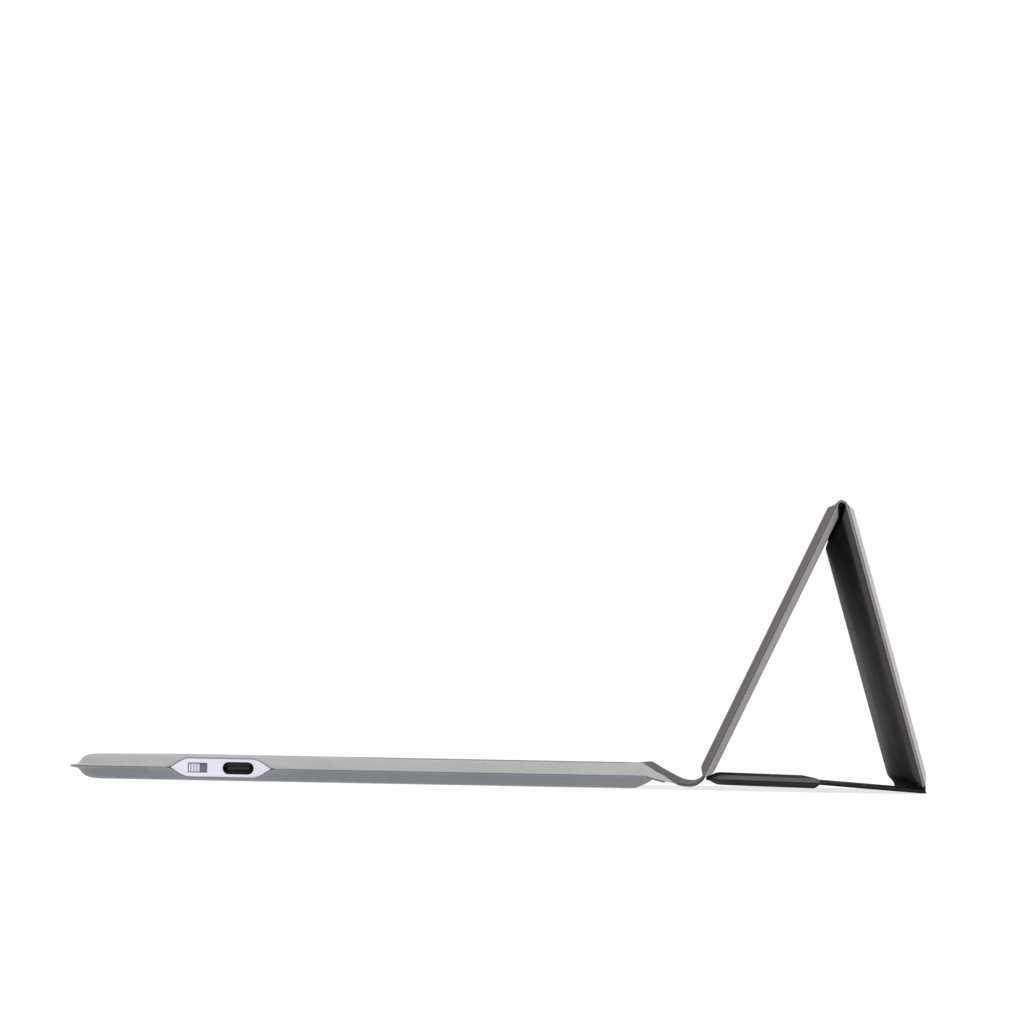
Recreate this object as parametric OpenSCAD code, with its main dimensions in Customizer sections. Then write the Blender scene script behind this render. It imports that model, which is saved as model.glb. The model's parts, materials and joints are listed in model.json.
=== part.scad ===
// Folding keyboard case for an 11-inch-class tablet.
// A thin padded keyboard base carries a folding stand: a flexible spine, a lower back panel that
// holds the tablet, a rear leg, and a soft strip that ends in a magnetic flap.
// +X is the typist's right, +Y points away from the typist and +Z is up.
// The origin is the centre of the base's flat underside.

/* [Case] */
// Width of the case, side to side
case_w = 250; // [248:1:256]
// Length of the flat underside of the base, front to rear
flat_len = 160.5; // [160:0.5:166]
// Thickness of the base
base_t = 7.4; // [7.4:0.1:8]
// Thickness of the leatherette skins of the base
skin_t = 0.85; // [0.8:0.05:0.9]
// Height of the seam where the two skins of the base meet
seam_z = 3.7; // [3.6:0.1:3.8]
// Radius of the two front corners of the base
front_corner_r = 9; // [7:1:11]

/* [Keyboard] */
// Distance between neighbouring key centres
key_pitch = 16; // [15.8:0.1:16]
// Gap between neighbouring keys
key_gap = 2.2; // [2:0.1:2.6]
// Front-to-rear depth of the keys in the function row
function_key_depth = 8.8; // [8.4:0.2:9]
// How far a key travels
key_travel = 1; // [0.8:0.1:1]
// Clearance round each key in the key frame
key_clear = 0.35; // [0.3:0.05:0.4]
// Width of the touchpad
touchpad_w = 104; // [90:1:106]
// Depth of the touchpad
touchpad_d = 52; // [46:1:53]

/* [Stand] */
// Lean of the lower back panel from the table, in degrees
back_lean = 64.9; // [64.9]
// Distance from the crease to the top fold, along the lower back panel
back_len = 92.1; // [92.1]
// Thickness of the lower back panel
back_t = 4.2; // [4:0.1:4.3]
// Angle of the rear leg from the table, in degrees
leg_lean = 73.84; // [73.84]
// Distance from the top fold to the foot fold, along the rear leg
leg_len = 89.4; // [89.4]
// Thickness of the rear leg
leg_t = 3.9; // [3.7:0.1:4]
// Thickness of the front flap
flap_t = 3.1; // [2.9:0.1:3.2]
// Length of the stiff part of the front flap
flap_len = 33.6; // [32:0.2:33.6]
// Thickness of the flexible sheet in the spine and the strip
sheet_t = 0.9; // [0.8:0.1:0.9]

/* [Side ports] */
// Length of the port bezel, tip to tip
bezel_len = 30.2; // [29:0.2:31]
// Height of the port bezel
bezel_h = 5.5; // [5.2:0.1:5.6]
// Distance from the base's rear seam forward to the middle of the port bezel
bezel_from_rear = 127.5; // [126:0.5:129]

/* [Hidden] */
round_fn = 48;
hull_fn = 32;
fit = 0.05;                               // gap between pieces that lie against each other
half_w = case_w / 2;

// Base outline. Runs are horizontal distances in from the seam.
front_run = 8.2;                          // underside to the front lip
rear_run = 4.7;                           // underside to the rear seam
seam_half = 0.45;                         // half the thickness of the seam flange
y_front = -flat_len / 2 - front_run;
y_rear = flat_len / 2 + rear_run;
bevel_side = 4.5;                         // run of the top bevel at the sides
bevel_front = 6.3;                        // run of the top bevel at the front
bevel_rear = 2.6;                         // run from the rear seam to the top's rear edge
top_edge_z = 5.95;                        // height of the bend half way up the top bevel

// Core of the base, which the two skins wrap
core_x = half_w - 6.5;
core_front = y_front + 9;
core_rear = y_rear - 5;
core_bottom = skin_t;
core_top = base_t - skin_t - 0.05;
wall_t = 1.1;
tray_floor = core_bottom + 0.8;
tray_top = 4.95;

// Layers of the keyboard
plate_z = 3.6;                            // underside of the backing plate
plate_t = 0.4;
membrane_z = plate_z + plate_t + fit;
membrane_t = 0.25;
mechanism_z = membrane_z + membrane_t + fit;
deck_z = 5.0;                             // underside of the key frame's deck
deck_top = 5.9;
cap_bottom = 5.6;
cap_top = base_t - 0.4;
cap_ceiling = 6.4;                        // roof of the hollow under each key
cap_wall = 0.8;

// Key rows, rear to front. Each number is a key's width in key pitches.
row_units = 14.5;
function_keys_n = 14;
row_function = [for (i = [1:function_keys_n]) row_units / function_keys_n];
row_number = concat([for (i = [1:13]) 1], [1.5]);
row_upper = concat([1.5], [for (i = [1:13]) 1]);
row_home = concat([1.75], [for (i = [1:11]) 1], [1.75]);
row_lower = concat([2.25], [for (i = [1:10]) 1], [2.25]);
row_space = [1, 1, 1, 1.25, 5, 1.25, 1, 1, 1, 1];
rows = [row_function, row_number, row_upper, row_home, row_lower, row_space];
block_w = row_units * key_pitch;
key_depth = key_pitch - key_gap;
well_margin = 1.3;
well_rear = y_rear - 7.95;
well_half = block_w / 2 - key_gap / 2 + well_margin;
function_row_y = well_rear - well_margin - function_key_depth / 2;
first_row_y = well_rear - well_margin - function_key_depth - key_gap - key_depth / 2;
well_front = first_row_y - 4 * key_pitch - key_depth / 2 - well_margin;
arrow_gap = 1;
arrow_depth = (key_depth - arrow_gap) / 2;
arrow_column = 8;                         // place of the up and down keys in the front row
wide_key_units = 1.4;                     // keys at least this wide have a stabiliser bar

// Touchpad
touchpad_y = well_front - 7.6 - touchpad_d / 2;
touchpad_r = 4;
touchpad_z = 6.1;
touchpad_top = base_t - 0.3;
touchpad_clear = 0.4;

// Side ports, on the typist's right
bezel_y = y_rear - bezel_from_rear;
bezel_z = 3.75;
bezel_face = half_w - 0.4;
bezel_flat = 18.7;                        // straight stretch of the bezel's top and bottom
lid_gap = 0.35;                           // gap between the bezel and the skins round it
switch_y = bezel_y - 6.9;
switch_window = [5.8, 2.9];
switch_travel = 2;
knob = [3.4, 2.6];
usb_y = bezel_y + 5.2;
usb_shell = [8.94, 3.16];
usb_wall = 0.3;
usb_len = 7.4;
usb_mouth = [9.3, 3.6];
usb_front = bezel_face - 0.5;
usb_back = usb_front - usb_len;
switch_case = [8.6, 2.4];
switch_back = core_x - 3.9;
port_room = [bezel_y - 13.5, bezel_y + 12.5];   // opening in the tray's wall, front to rear
board_z = 2.2;
board_t = 0.8;
board_x = 72;                             // inner edge of the main board
board_y = [bezel_y - 20, bezel_y + 17];

// Folds of the stand, as points [y, z], worked out from the front to the rear
spine_fold = [y_rear, 3.6];
crease = spine_fold + [15.5, -0.5];
back_dir = [cos(back_lean), sin(back_lean)];
back_normal = [-sin(back_lean), cos(back_lean)];
fold_offset = 0.94;                       // the top fold lies behind the panel's middle by this
top_fold = crease + back_len * back_dir - fold_offset * back_normal;
leg_dir = [cos(leg_lean), -sin(leg_lean)];
leg_normal = [sin(leg_lean), cos(leg_lean)];
leg_offset = 0.92;
foot_fold = top_fold + leg_offset * leg_normal + leg_len * leg_dir;
strip_angle = 176.3;
strip_len = 17.6;
strip_dir = [cos(strip_angle), sin(strip_angle)];
wrap_fold = foot_fold + strip_len * strip_dir;
lead_len = 12.9;                          // soft part of the flap, from the wrap fold to its board
flap_root = wrap_fold + lead_len * strip_dir;
flap_angle = 178.9;
fold_r = 0.45;                            // radius of the folded skin along a fold line
fold_gap = 0.9;                           // distance from a fold line to the sheet beyond it
lip_half = 0.5;                           // half the thickness of a panel's bonded edge
panel_bevel = 4.5;
stand_half_w = half_w;
panel_corner_r = 3;
panel_skin_t = 0.8;

leather_grey = "#a3a1a1";
lining_grey = "#6f7072";
plastic_dark = "#4c4d50";
key_dark = "#3a3b3e";
metal_grey = "#b9bcc0";

// ---------- shared shapes ----------

// Four upright posts at the corners of an outline, for a hull to join.
module posts(half_x, y0, y1, z0, z1, r_front, r_rear = 1.5)
{
    for (side = [-1, 1]) {
        translate([side * (half_x - r_front), y0 + r_front, z0])
            cylinder(r = r_front, h = z1 - z0, $fn = hull_fn);
        translate([side * (half_x - r_rear), y1 - r_rear, z0])
            cylinder(r = r_rear, h = z1 - z0, $fn = hull_fn);
    }
}

// A block given by its x, y and z limits.
module block(x0, x1, y0, y1, z0, z1)
{
    translate([x0, y0, z0]) cube([x1 - x0, y1 - y0, z1 - z0]);
}

// Extrudes an outline drawn in the [y, z] plane across the case.
module across(half_x)
{
    rotate([90, 0, 90]) translate([0, 0, -half_x]) linear_extrude(2 * half_x) children();
}

// A rod along X through the point [y, z].
module rod(point, r, half_x)
{
    translate([-half_x, point[0], point[1]]) rotate([0, 90, 0])
        cylinder(r = r, h = 2 * half_x, $fn = round_fn);
}

// Places a panel: local x is along the panel, local y is its front or outer side.
module in_panel(origin, angle)
{
    translate([0, origin[0], origin[1]]) rotate([angle, 0, 0]) children();
}

// ---------- base shell ----------

module bezel_outline(grow = 0)
{
    steps = 8;
    half_flat = bezel_flat / 2;
    tip = bezel_len / 2 + grow;
    top = bezel_h / 2 + grow;
    shoulder = [for (i = [0:steps]) let (t = i / steps)
        [half_flat + (tip - half_flat) * t, top * (1 - t * t * (1.6 - 0.6 * t))]];
    quarter = concat([[0, top]], shoulder);
    right = concat(quarter, [for (i = [steps:-1:1]) [shoulder[i - 1][0], -shoulder[i - 1][1]]]);
    left = [for (i = [len(right) - 1:-1:1]) [-right[i][0], right[i][1]]];
    polygon(concat(right, left));
}

module bezel_hole()
{
    port_shape(core_x - 1, half_w + 1, bezel_y) bezel_outline(lid_gap);
}

module core_space(z0, z1)
{
    block(-core_x - fit, core_x + fit, core_front - fit, core_rear + fit, z0, z1);
}

module spine_relief()
{
    rod(spine_fold, fold_gap, half_w + 1);
    block(-half_w - 1, half_w + 1, y_rear - fold_gap / 2, y_rear + 5, seam_z - 3, base_t + 1);
}

module light_place()
{
    for (i = [-1:1])
        translate([well_half - 16 + 4 * i, well_front - 3.8, 0]) children();
}

module top_skin()
{
    color(leather_grey) difference() {
        hull() {
            posts(half_w, y_front, y_rear, seam_z, seam_z + seam_half, front_corner_r);
            posts(half_w - 2.5, y_front + 3.4, y_rear, top_edge_z - 0.1, top_edge_z, 7);
            posts(half_w - bevel_side, y_front + bevel_front, y_rear - bevel_rear,
                  base_t - 0.1, base_t, 5);
        }
        core_space(0, core_top + fit);
        block(-well_half, well_half, well_front, well_rear, 0, base_t + 1);
        touchpad_hole(0, base_t + 1);
        bezel_hole();
        spine_relief();
        light_place() cylinder(r = 0.7, h = base_t + 1, $fn = round_fn);
    }
}

module bottom_skin()
{
    color(leather_grey) difference() {
        union() {
            hull() posts(half_w, y_front, y_rear, seam_z - seam_half, seam_z, front_corner_r);
            hull() {
                posts(half_w - 1.5, y_front + 2.6, y_rear - 0.6, 2.9, seam_z, 7);
                posts(half_w - 3.4, y_front + 5.4, y_rear - 1.6, 1.3, 1.4, 6);
                posts(half_w - 5, y_front + front_run, y_rear - rear_run, 0, 0.1, 5);
            }
        }
        core_space(core_bottom - fit, base_t);
        bezel_hole();
        spine_relief();
    }
}

// ---------- core of the base ----------

module screw_places()
{
    for (x = [-112, -64, 64, 112], y = [touchpad_y - touchpad_d / 2 + 3, well_front - 3.5])
        if (x < 70 || y > touchpad_y) translate([x, y, 0]) children();
    translate([104, touchpad_y - touchpad_d / 2 + 3, 0]) children();
}

module touchpad_hole(z0, z1)
{
    half_x = touchpad_w / 2 + touchpad_clear;
    half_y = touchpad_d / 2 + touchpad_clear;
    block(-half_x, half_x, touchpad_y - half_y, touchpad_y + half_y, z0, z1);
}

module key_frame()
{
    boss_r = 1.7;
    color(plastic_dark) difference() {
        union() {
            block(-core_x, core_x, core_front, core_rear, deck_z, core_top);
            screw_places()
                translate([0, 0, tray_floor + 0.1])
                    cylinder(r = boss_r, h = deck_z - tray_floor, $fn = round_fn);
        }
        block(-well_half, well_half, well_front, well_rear, deck_top, base_t);
        touchpad_hole(0, base_t);
        every_key() key_hole($width, $depth);
        screw_places() cylinder(r = 0.72, h = deck_z + 0.4, $fn = round_fn);
        light_place() cylinder(r = 0.7, h = base_t, $fn = round_fn);
        port_shape(usb_back - 0.3, core_x + 1, usb_y)
            square(usb_shell + [0.6, 0.3], center = true);
    }
}

module base_tray()
{
    rib_t = 1.2;
    inner_x = core_x - wall_t;
    color(plastic_dark) difference() {
        union() {
            difference() {
                block(-core_x, core_x, core_front, core_rear, core_bottom, tray_top);
                block(-inner_x, inner_x, core_front + wall_t, core_rear - wall_t,
                      tray_floor, tray_top + 1);
            }
            for (x = [-86, -58, 58, 86])
                block(x - rib_t / 2, x + rib_t / 2, well_front + 4, core_rear - 3,
                      tray_floor - 0.1, plate_z - fit);
            for (x = [board_x + 3, inner_x - 4], y = [board_y[0] + 3, board_y[1] - 3])
                translate([x, y, tray_floor - 0.1])
                    cylinder(r = 1.5, h = board_z - fit - tray_floor + 0.1, $fn = round_fn);
        }
        block(inner_x - 1, core_x + 1, port_room[0], port_room[1], tray_floor, tray_top + 1);
        screw_places() {
            cylinder(r = 0.85, h = 3, $fn = round_fn);
            cylinder(r = 1.4, h = core_bottom + 0.45, $fn = round_fn);
        }
    }
}

module case_screws()
{
    color(metal_grey) screw_places() {
        translate([0, 0, core_bottom + 0.02]) cylinder(r = 1.3, h = 0.4, $fn = round_fn);
        translate([0, 0, core_bottom + 0.4]) cylinder(r = 0.7, h = 3.6, $fn = round_fn);
    }
}

module battery()
{
    color("#9a9da3") block(-52, 52, 8, 56, tray_floor + fit, plate_z - 0.15);
}

// The main board reaches through the opening in the tray's wall, with a notch for each port.
module main_board()
{
    color("#2f5f46") difference() {
        union() {
            block(board_x, core_x - wall_t - 0.3, board_y[0], board_y[1],
                  board_z, board_z + board_t);
            block(core_x - 8, core_x - 0.1, port_room[0] + 0.5, port_room[1] - 0.5,
                  board_z, board_z + board_t);
        }
        board_notch(usb_y, usb_shell[0], usb_back);
        board_notch(switch_y, switch_case[0], switch_back);
    }
}

module board_notch(y, width, x0)
{
    half = width / 2 + 0.15;
    block(x0 - 0.15, core_x + 1, y - half, y + half, 0, base_t);
}

module closure_magnets()
{
    color(metal_grey) for (x = [-90, -30, 30, 90])
        block(x - 12, x + 12, core_front + wall_t + 0.5, core_front + wall_t + 3.5,
              tray_floor + fit, tray_floor + 1.6);
}

module status_lights()
{
    color("#e8efe9") light_place()
        translate([0, 0, deck_z + 0.2]) cylinder(r = 0.62, h = base_t - deck_z - 0.2, $fn = round_fn);
}

// ---------- keyboard ----------

function row_start(row, i) = i == 0 ? -block_w / 2 : row_start(row, i - 1) + rows[row][i - 1] * key_pitch;
function key_x(row, i) = row_start(row, i) + rows[row][i] * key_pitch / 2;
function key_width(row, i) = rows[row][i] * key_pitch - key_gap;
function row_y(row) = row == 0 ? function_row_y : first_row_y - (row - 1) * key_pitch;
function row_depth(row) = row == 0 ? function_key_depth : key_depth;

// Puts a key's shape at each place from first to last in a row. The up and down keys share one place.
module keys_at(row, first, last)
{
    for (i = [first:last]) {
        if (row == 5 && i == arrow_column) {
            arrow_at(1) children();
            arrow_at(-1) children();
        } else {
            $width = key_width(row, i);
            $depth = row_depth(row);
            translate([key_x(row, i), row_y(row), 0]) children();
        }
    }
}

module arrow_at(side)
{
    $width = key_width(5, arrow_column);
    $depth = arrow_depth;
    translate([key_x(5, arrow_column), row_y(5) + side * (arrow_depth + arrow_gap) / 2, 0])
        children();
}

module every_key()
{
    for (row = [0:len(rows) - 1]) keys_at(row, 0, len(rows[row]) - 1) children();
}

module key_hole(width, depth)
{
    x = width / 2 + key_clear;
    y = depth / 2 + key_clear;
    block(-x, x, -y, y, 0, base_t + 1);
}

module key_cap(width, depth)
{
    color(key_dark) difference() {
        block(-width / 2, width / 2, -depth / 2, depth / 2, cap_bottom, cap_top);
        block(-width / 2 + cap_wall, width / 2 - cap_wall, -depth / 2 + cap_wall,
              depth / 2 - cap_wall, 0, cap_ceiling);
    }
}

module backing_plate()
{
    color(metal_grey)
        block(-well_half + 0.3, well_half - 0.3, well_front + 0.3, well_rear - 0.3,
              plate_z, plate_z + plate_t);
}

module key_membrane()
{
    color("#d8dcd8")
        block(-well_half + 1, well_half - 1, well_front + 1, well_rear - 1,
              membrane_z, membrane_z + membrane_t);
}

module rubber_domes()
{
    color("#e9e9e4") every_key()
        translate([0, 0, mechanism_z])
            cylinder(r1 = 0.16 * $depth, r2 = 0.09 * $depth,
                     h = cap_ceiling - fit - mechanism_z, $fn = hull_fn);
}

// One flat frame of a scissor link, tilted about its middle.
module scissor_frame(width, depth, tilt)
{
    bar = 0.7;
    thick = 0.45;
    rotate([tilt, 0, 0]) difference() {
        cube([width, depth, thick], center = true);
        cube([width - 2 * bar, depth - 2 * bar, thick + 1], center = true);
    }
}

module key_scissors()
{
    outer_w = 9.6;
    tilt = 7;
    color("#f0f0ee") every_key()
        translate([0, 0, (mechanism_z + cap_ceiling) / 2]) {
            scissor_frame(outer_w, 0.62 * $depth, tilt);
            if ($depth > 10) scissor_frame(outer_w - 1.7, 0.62 * $depth - 1.8, -tilt);
        }
}

module stabiliser_bars()
{
    color(metal_grey) every_key()
        if ($width > wide_key_units * key_pitch - key_gap)
            translate([-$width / 2 + 1.6, $depth / 2 - 1.4, mechanism_z + 0.45]) rotate([0, 90, 0])
                cylinder(r = 0.35, h = $width - 3.2, $fn = round_fn);
}

module function_keys() { keys_at(0, 0, function_keys_n - 1) key_cap($width, $depth); }
module number_keys() { keys_at(1, 0, 12) key_cap($width, $depth); }
module delete_key() { keys_at(1, 13, 13) key_cap($width, $depth); }
module tab_key() { keys_at(2, 0, 0) key_cap($width, $depth); }
module upper_letter_keys() { keys_at(2, 1, 13) key_cap($width, $depth); }
module caps_lock_key() { keys_at(3, 0, 0) key_cap($width, $depth); }
module home_letter_keys() { keys_at(3, 1, 11) key_cap($width, $depth); }
module return_key() { keys_at(3, 12, 12) key_cap($width, $depth); }
module left_shift_key() { keys_at(4, 0, 0) key_cap($width, $depth); }
module lower_letter_keys() { keys_at(4, 1, 10) key_cap($width, $depth); }
module right_shift_key() { keys_at(4, 11, 11) key_cap($width, $depth); }
module left_modifier_keys() { keys_at(5, 0, 3) key_cap($width, $depth); }
module space_bar() { keys_at(5, 4, 4) key_cap($width, $depth); }
module right_modifier_keys() { keys_at(5, 5, 6) key_cap($width, $depth); }
module left_arrow_key() { keys_at(5, 7, 7) key_cap($width, $depth); }
module up_arrow_key() { arrow_at(1) key_cap($width, $depth); }
module down_arrow_key() { arrow_at(-1) key_cap($width, $depth); }
module right_arrow_key() { keys_at(5, 9, 9) key_cap($width, $depth); }

// ---------- touchpad ----------

module rounded_plate(width, depth, r, z0, z1)
{
    hx = width / 2;
    hy = depth / 2;
    block(-hx + r, hx - r, -hy, hy, z0, z1);
    block(-hx, hx, -hy + r, hy - r, z0, z1);
    for (x = [-hx + r, hx - r], y = [-hy + r, hy - r])
        translate([x, y, z0]) cylinder(r = r, h = z1 - z0, $fn = round_fn);
}

module touchpad_plate()
{
    color("#77787b") translate([0, touchpad_y, 0])
        rounded_plate(touchpad_w, touchpad_d, touchpad_r, touchpad_z, touchpad_top);
}

module touchpad_board()
{
    color("#2f5f46")
        block(-touchpad_w / 2 + 2, touchpad_w / 2 - 2, touchpad_y - touchpad_d / 2 + 2,
              touchpad_y + touchpad_d / 2 - 2, touchpad_z - 0.85, touchpad_z - fit);
}

module touchpad_bracket()
{
    color(metal_grey) difference() {
        block(-touchpad_w / 2 - 3, touchpad_w / 2 + 3, touchpad_y - touchpad_d / 2 - 3,
              touchpad_y + touchpad_d / 2 + 3, 4.3, 4.6);
        for (x = [-30, 30])
            block(x - 14, x + 14, touchpad_y - 10, touchpad_y + 14, 4, 5);
    }
}

module touchpad_click_dome()
{
    color(metal_grey) translate([0, touchpad_y - touchpad_d / 2 + 7, 4.6 + fit])
        cylinder(r1 = 2, r2 = 1.2, h = 0.22, $fn = hull_fn);
}

// ---------- side ports ----------

module stadium(size)
{
    r = size[1] / 2;
    square([size[0] - size[1], size[1]], center = true);
    for (side = [-1, 1]) translate([side * (size[0] / 2 - r), 0]) circle(r = r, $fn = round_fn);
}

module port_shape(x0, x1, y)
{
    translate([x0, y, bezel_z]) rotate([90, 0, 90]) linear_extrude(x1 - x0) children();
}

module port_bezel()
{
    x0 = core_x + 0.4;
    color("#ebeaf0") difference() {
        port_shape(x0, bezel_face, bezel_y) bezel_outline();
        port_shape(x0 - 1, bezel_face + 1, switch_y) square(switch_window, center = true);
        port_shape(x0 - 1, bezel_face + 1, usb_y) stadium(usb_mouth);
    }
}

module usb_socket_shell()
{
    inner = usb_shell - [2 * usb_wall, 2 * usb_wall];
    color(metal_grey) difference() {
        port_shape(usb_back, usb_front, usb_y) stadium(usb_shell);
        port_shape(usb_back + usb_wall, usb_front + 1, usb_y) stadium(inner);
    }
}

module usb_socket_tongue()
{
    color("#26272a") port_shape(usb_back + usb_wall + fit, usb_front - 1, usb_y)
        square([6.6, 0.7], center = true);
}

module switch_body()
{
    front = core_x - 0.5;
    color(metal_grey) difference() {
        port_shape(switch_back, front, switch_y) square(switch_case, center = true);
        port_shape(front - 1.5, front + 1, switch_y) square([4.4, 1.7], center = true);
    }
}

module switch_knob()
{
    rest_y = switch_y - switch_travel / 2 - 0.1;
    face = bezel_face - 0.35;
    ribs = 4;
    color("#d9d8de") {
        port_shape(core_x + 0.2, face - 0.3, rest_y) square(knob, center = true);
        port_shape(core_x - 1.5, core_x + 0.2, rest_y) square([1.8, 1.1], center = true);
        for (i = [0:ribs - 1])
            port_shape(face - 0.3, face, rest_y + (i - (ribs - 1) / 2) * 0.9)
                square([0.4, knob[1]], center = true);
    }
}

// ---------- stand ----------

// Middle line of the spine sheet: a straight slope, then two arcs that dip and rise to the crease.
spine_start = spine_fold + [1.4, 0.45];
spine_slope = 18.8;
dip_start = spine_fold + [7.9, -1.75];
dip_r = 11.2;
rise_r = 5.2;
rise_end = 46;
dip_low = dip_start + dip_r * [sin(spine_slope), cos(spine_slope) - 1];
arc_steps = 6;

// Each entry is [y, z, direction in degrees, half thickness].
spine_path = concat(
    [[spine_start[0], spine_start[1], -spine_slope, 1.05]],
    [for (i = [0:arc_steps]) let (a = -spine_slope * (1 - i / arc_steps))
        [dip_low[0] + dip_r * sin(a), dip_low[1] + dip_r * (1 - cos(a)), a, sheet_t / 2]],
    [for (i = [1:arc_steps]) let (a = rise_end * i / arc_steps)
        [dip_low[0] + rise_r * sin(a), dip_low[1] + rise_r * (1 - cos(a)), a, sheet_t / 2]]
);

function beside(p, side) = [p[0] - side * p[3] * sin(p[2]), p[1] + side * p[3] * cos(p[2])];

module spine_half(side)
{
    n = len(spine_path);
    edge = [for (p = spine_path) beside(p, side)];
    middle = [for (i = [n - 1:-1:0]) [spine_path[i][0], spine_path[i][1]]];
    across(stand_half_w) polygon(concat(edge, middle));
}

module spine_skin()
{
    start = spine_path[0];
    color(leather_grey) {
        spine_half(-1);
        rod(spine_fold, fold_r, stand_half_w);
        across(stand_half_w) polygon([
            spine_fold, spine_fold + [0, -fold_r], beside(start, -1), [start[0], start[1]]
        ]);
        rod(crease, fold_r, stand_half_w);
        across(stand_half_w) polygon([
            crease + [-0.25, 0.3], beside(spine_path[len(spine_path) - 1], 0.2),
            beside(spine_path[len(spine_path) - 1], -1), crease + [0.25, -0.3]
        ]);
    }
}

module spine_lining()
{
    color(lining_grey) difference() {
        spine_half(1);
        rod(crease, fold_r + fit, half_w + 1);
    }
}

// One side of a stiff panel's cover, in the panel's own frame: y runs along the panel and z is
// its thickness. side is 1 for the upper half and -1 for the lower half.
module cover_half(start, end, thick, side, board, bevel_end, corner_r = panel_corner_r)
{
    outer = thick / 2;
    z0 = side > 0 ? 0 : -lip_half;
    z1 = side > 0 ? outer - 0.1 : -outer;
    bevel = panel_bevel;
    difference() {
        hull() {
            posts(stand_half_w, start, end, z0, z0 + lip_half, corner_r, corner_r);
            posts(stand_half_w - bevel, start + bevel_end[0], end - bevel_end[1], z1, z1 + 0.1,
                  corner_r, corner_r);
        }
        board_space(board, fit);
    }
}

// The room for a board, given as [start, end, half width, half thickness].
module board_space(board, gap)
{
    block(-board[2] - gap, board[2] + gap, board[0] - gap, board[1] + gap,
          -board[3] - gap, board[3] + gap);
}

back_end = back_len - 2.2;
back_board = [8, back_end - 7, stand_half_w - 7, back_t / 2 - panel_skin_t - fit];
keeper = [2.9, 7.2, 100, 0.3];
panel_bevels = [panel_bevel, panel_bevel];

module in_back_panel() { in_panel(crease, back_lean) children(); }

module back_panel_skin()
{
    color(leather_grey) in_back_panel() {
        difference() {
            cover_half(fold_gap, back_end, back_t, -1, back_board, panel_bevels);
            board_space(keeper, fit);
        }
        across(stand_half_w - panel_corner_r) polygon([
            [back_end - 0.1, -lip_half], [back_end - 0.1, 0], [back_len, -fold_offset + 0.3],
            [back_len, -fold_offset - 0.3]
        ]);
        rod([back_len, -fold_offset], fold_r, stand_half_w - panel_corner_r);
    }
}

module back_panel_lining()
{
    color(lining_grey) in_back_panel() difference() {
        cover_half(fold_gap, back_end, back_t, 1, back_board, panel_bevels);
        board_space(keeper, fit);
    }
}

module magnet_places()
{
    for (x = [-96, -72, -48, 48, 72, 96], y = [24, 70]) translate([x, y, 0]) children();
}

module back_panel_board()
{
    color("#c9c4b6") in_back_panel() difference() {
        board_space(back_board, 0);
        magnet_places() cube([15 + 2 * fit, 6 + 2 * fit, 10], center = true);
    }
}

module tablet_magnets()
{
    color(metal_grey) in_back_panel() magnet_places() cube([15, 6, 2 * back_board[3]], center = true);
}

module flap_keeper()
{
    color(metal_grey) in_back_panel() board_space(keeper, 0);
}

// The rear leg's frame starts at the top fold. Its cover is offset so that it lies flush with the
// lower back panel when the two are unfolded flat.
leg_start = 2.2;
leg_end = leg_len - fold_gap;
leg_board = [9, leg_end - 7, stand_half_w - 7, leg_t / 2 - panel_skin_t - fit];

module in_rear_leg() { in_panel(top_fold + leg_offset * leg_normal, -leg_lean) children(); }

module rear_leg_skin()
{
    color(leather_grey) in_rear_leg() {
        cover_half(leg_start, leg_end, leg_t, 1, leg_board, panel_bevels);
        across(stand_half_w - panel_corner_r) polygon([
            [leg_end, 0], [leg_end - 0.1, 0], [leg_end - 0.1, lip_half],
            [leg_len, 0.3], [leg_len, -0.3]
        ]);
        rod([leg_len, 0], fold_r, stand_half_w - panel_corner_r);
    }
}

module rear_leg_lining()
{
    color(lining_grey) in_rear_leg()
        cover_half(leg_start, leg_end, leg_t, -1, leg_board, panel_bevels);
}

module rear_leg_board()
{
    color("#c9c4b6") in_rear_leg() board_space(leg_board, 0);
}

// A layer of flexible sheet in a panel frame, from start to end.
module sheet_layer(start, end, side)
{
    z0 = side > 0 ? 0 : -sheet_t / 2;
    block(-stand_half_w + 1, stand_half_w - 1, start, end, z0, z0 + sheet_t / 2);
}

strip_end = strip_len - fold_gap;

module in_foot_strip() { in_panel(foot_fold, strip_angle) children(); }

module foot_strip_skin()
{
    color(leather_grey) in_foot_strip() {
        sheet_layer(fold_gap, strip_end, 1);
        block(-stand_half_w + 1, stand_half_w - 1, strip_end - 0.1, strip_len, 0, 0.3);
        rod([strip_len, 0], fold_r, stand_half_w - 1);
    }
}

module foot_strip_lining()
{
    color(lining_grey) in_foot_strip() sheet_layer(fold_gap, strip_end, -1);
}

flap_bevels = [2.3, 3.6];
flap_corner_r = 8;
flap_board = [4.5, flap_len - 5.5, stand_half_w - 7, 0.7];
flap_magnet = [flap_len - 5.2, flap_len - 2.8, 0.5];

module in_flap_lead() { in_panel(wrap_fold, strip_angle) children(); }
module in_front_flap() { in_panel(flap_root, flap_angle) children(); }

module flap_magnet_places(gap)
{
    for (x = [-84:28:84])
        block(x - 10 - gap, x + 10 + gap, flap_magnet[0] - gap, flap_magnet[1] + gap,
              -flap_magnet[2] - gap, flap_magnet[2] + gap);
}

module flap_cover(side)
{
    difference() {
        hull() {
            posts_flap(stand_half_w, 0, flap_len, side > 0 ? 0 : -lip_half, lip_half, flap_corner_r);
            posts_flap(stand_half_w - panel_bevel, flap_bevels[0], flap_len - flap_bevels[1],
                       side > 0 ? flap_t / 2 - 0.1 : -flap_t / 2, 0.1, flap_corner_r - 3);
        }
        board_space(flap_board, fit);
        flap_magnet_places(fit);
    }
}

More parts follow.
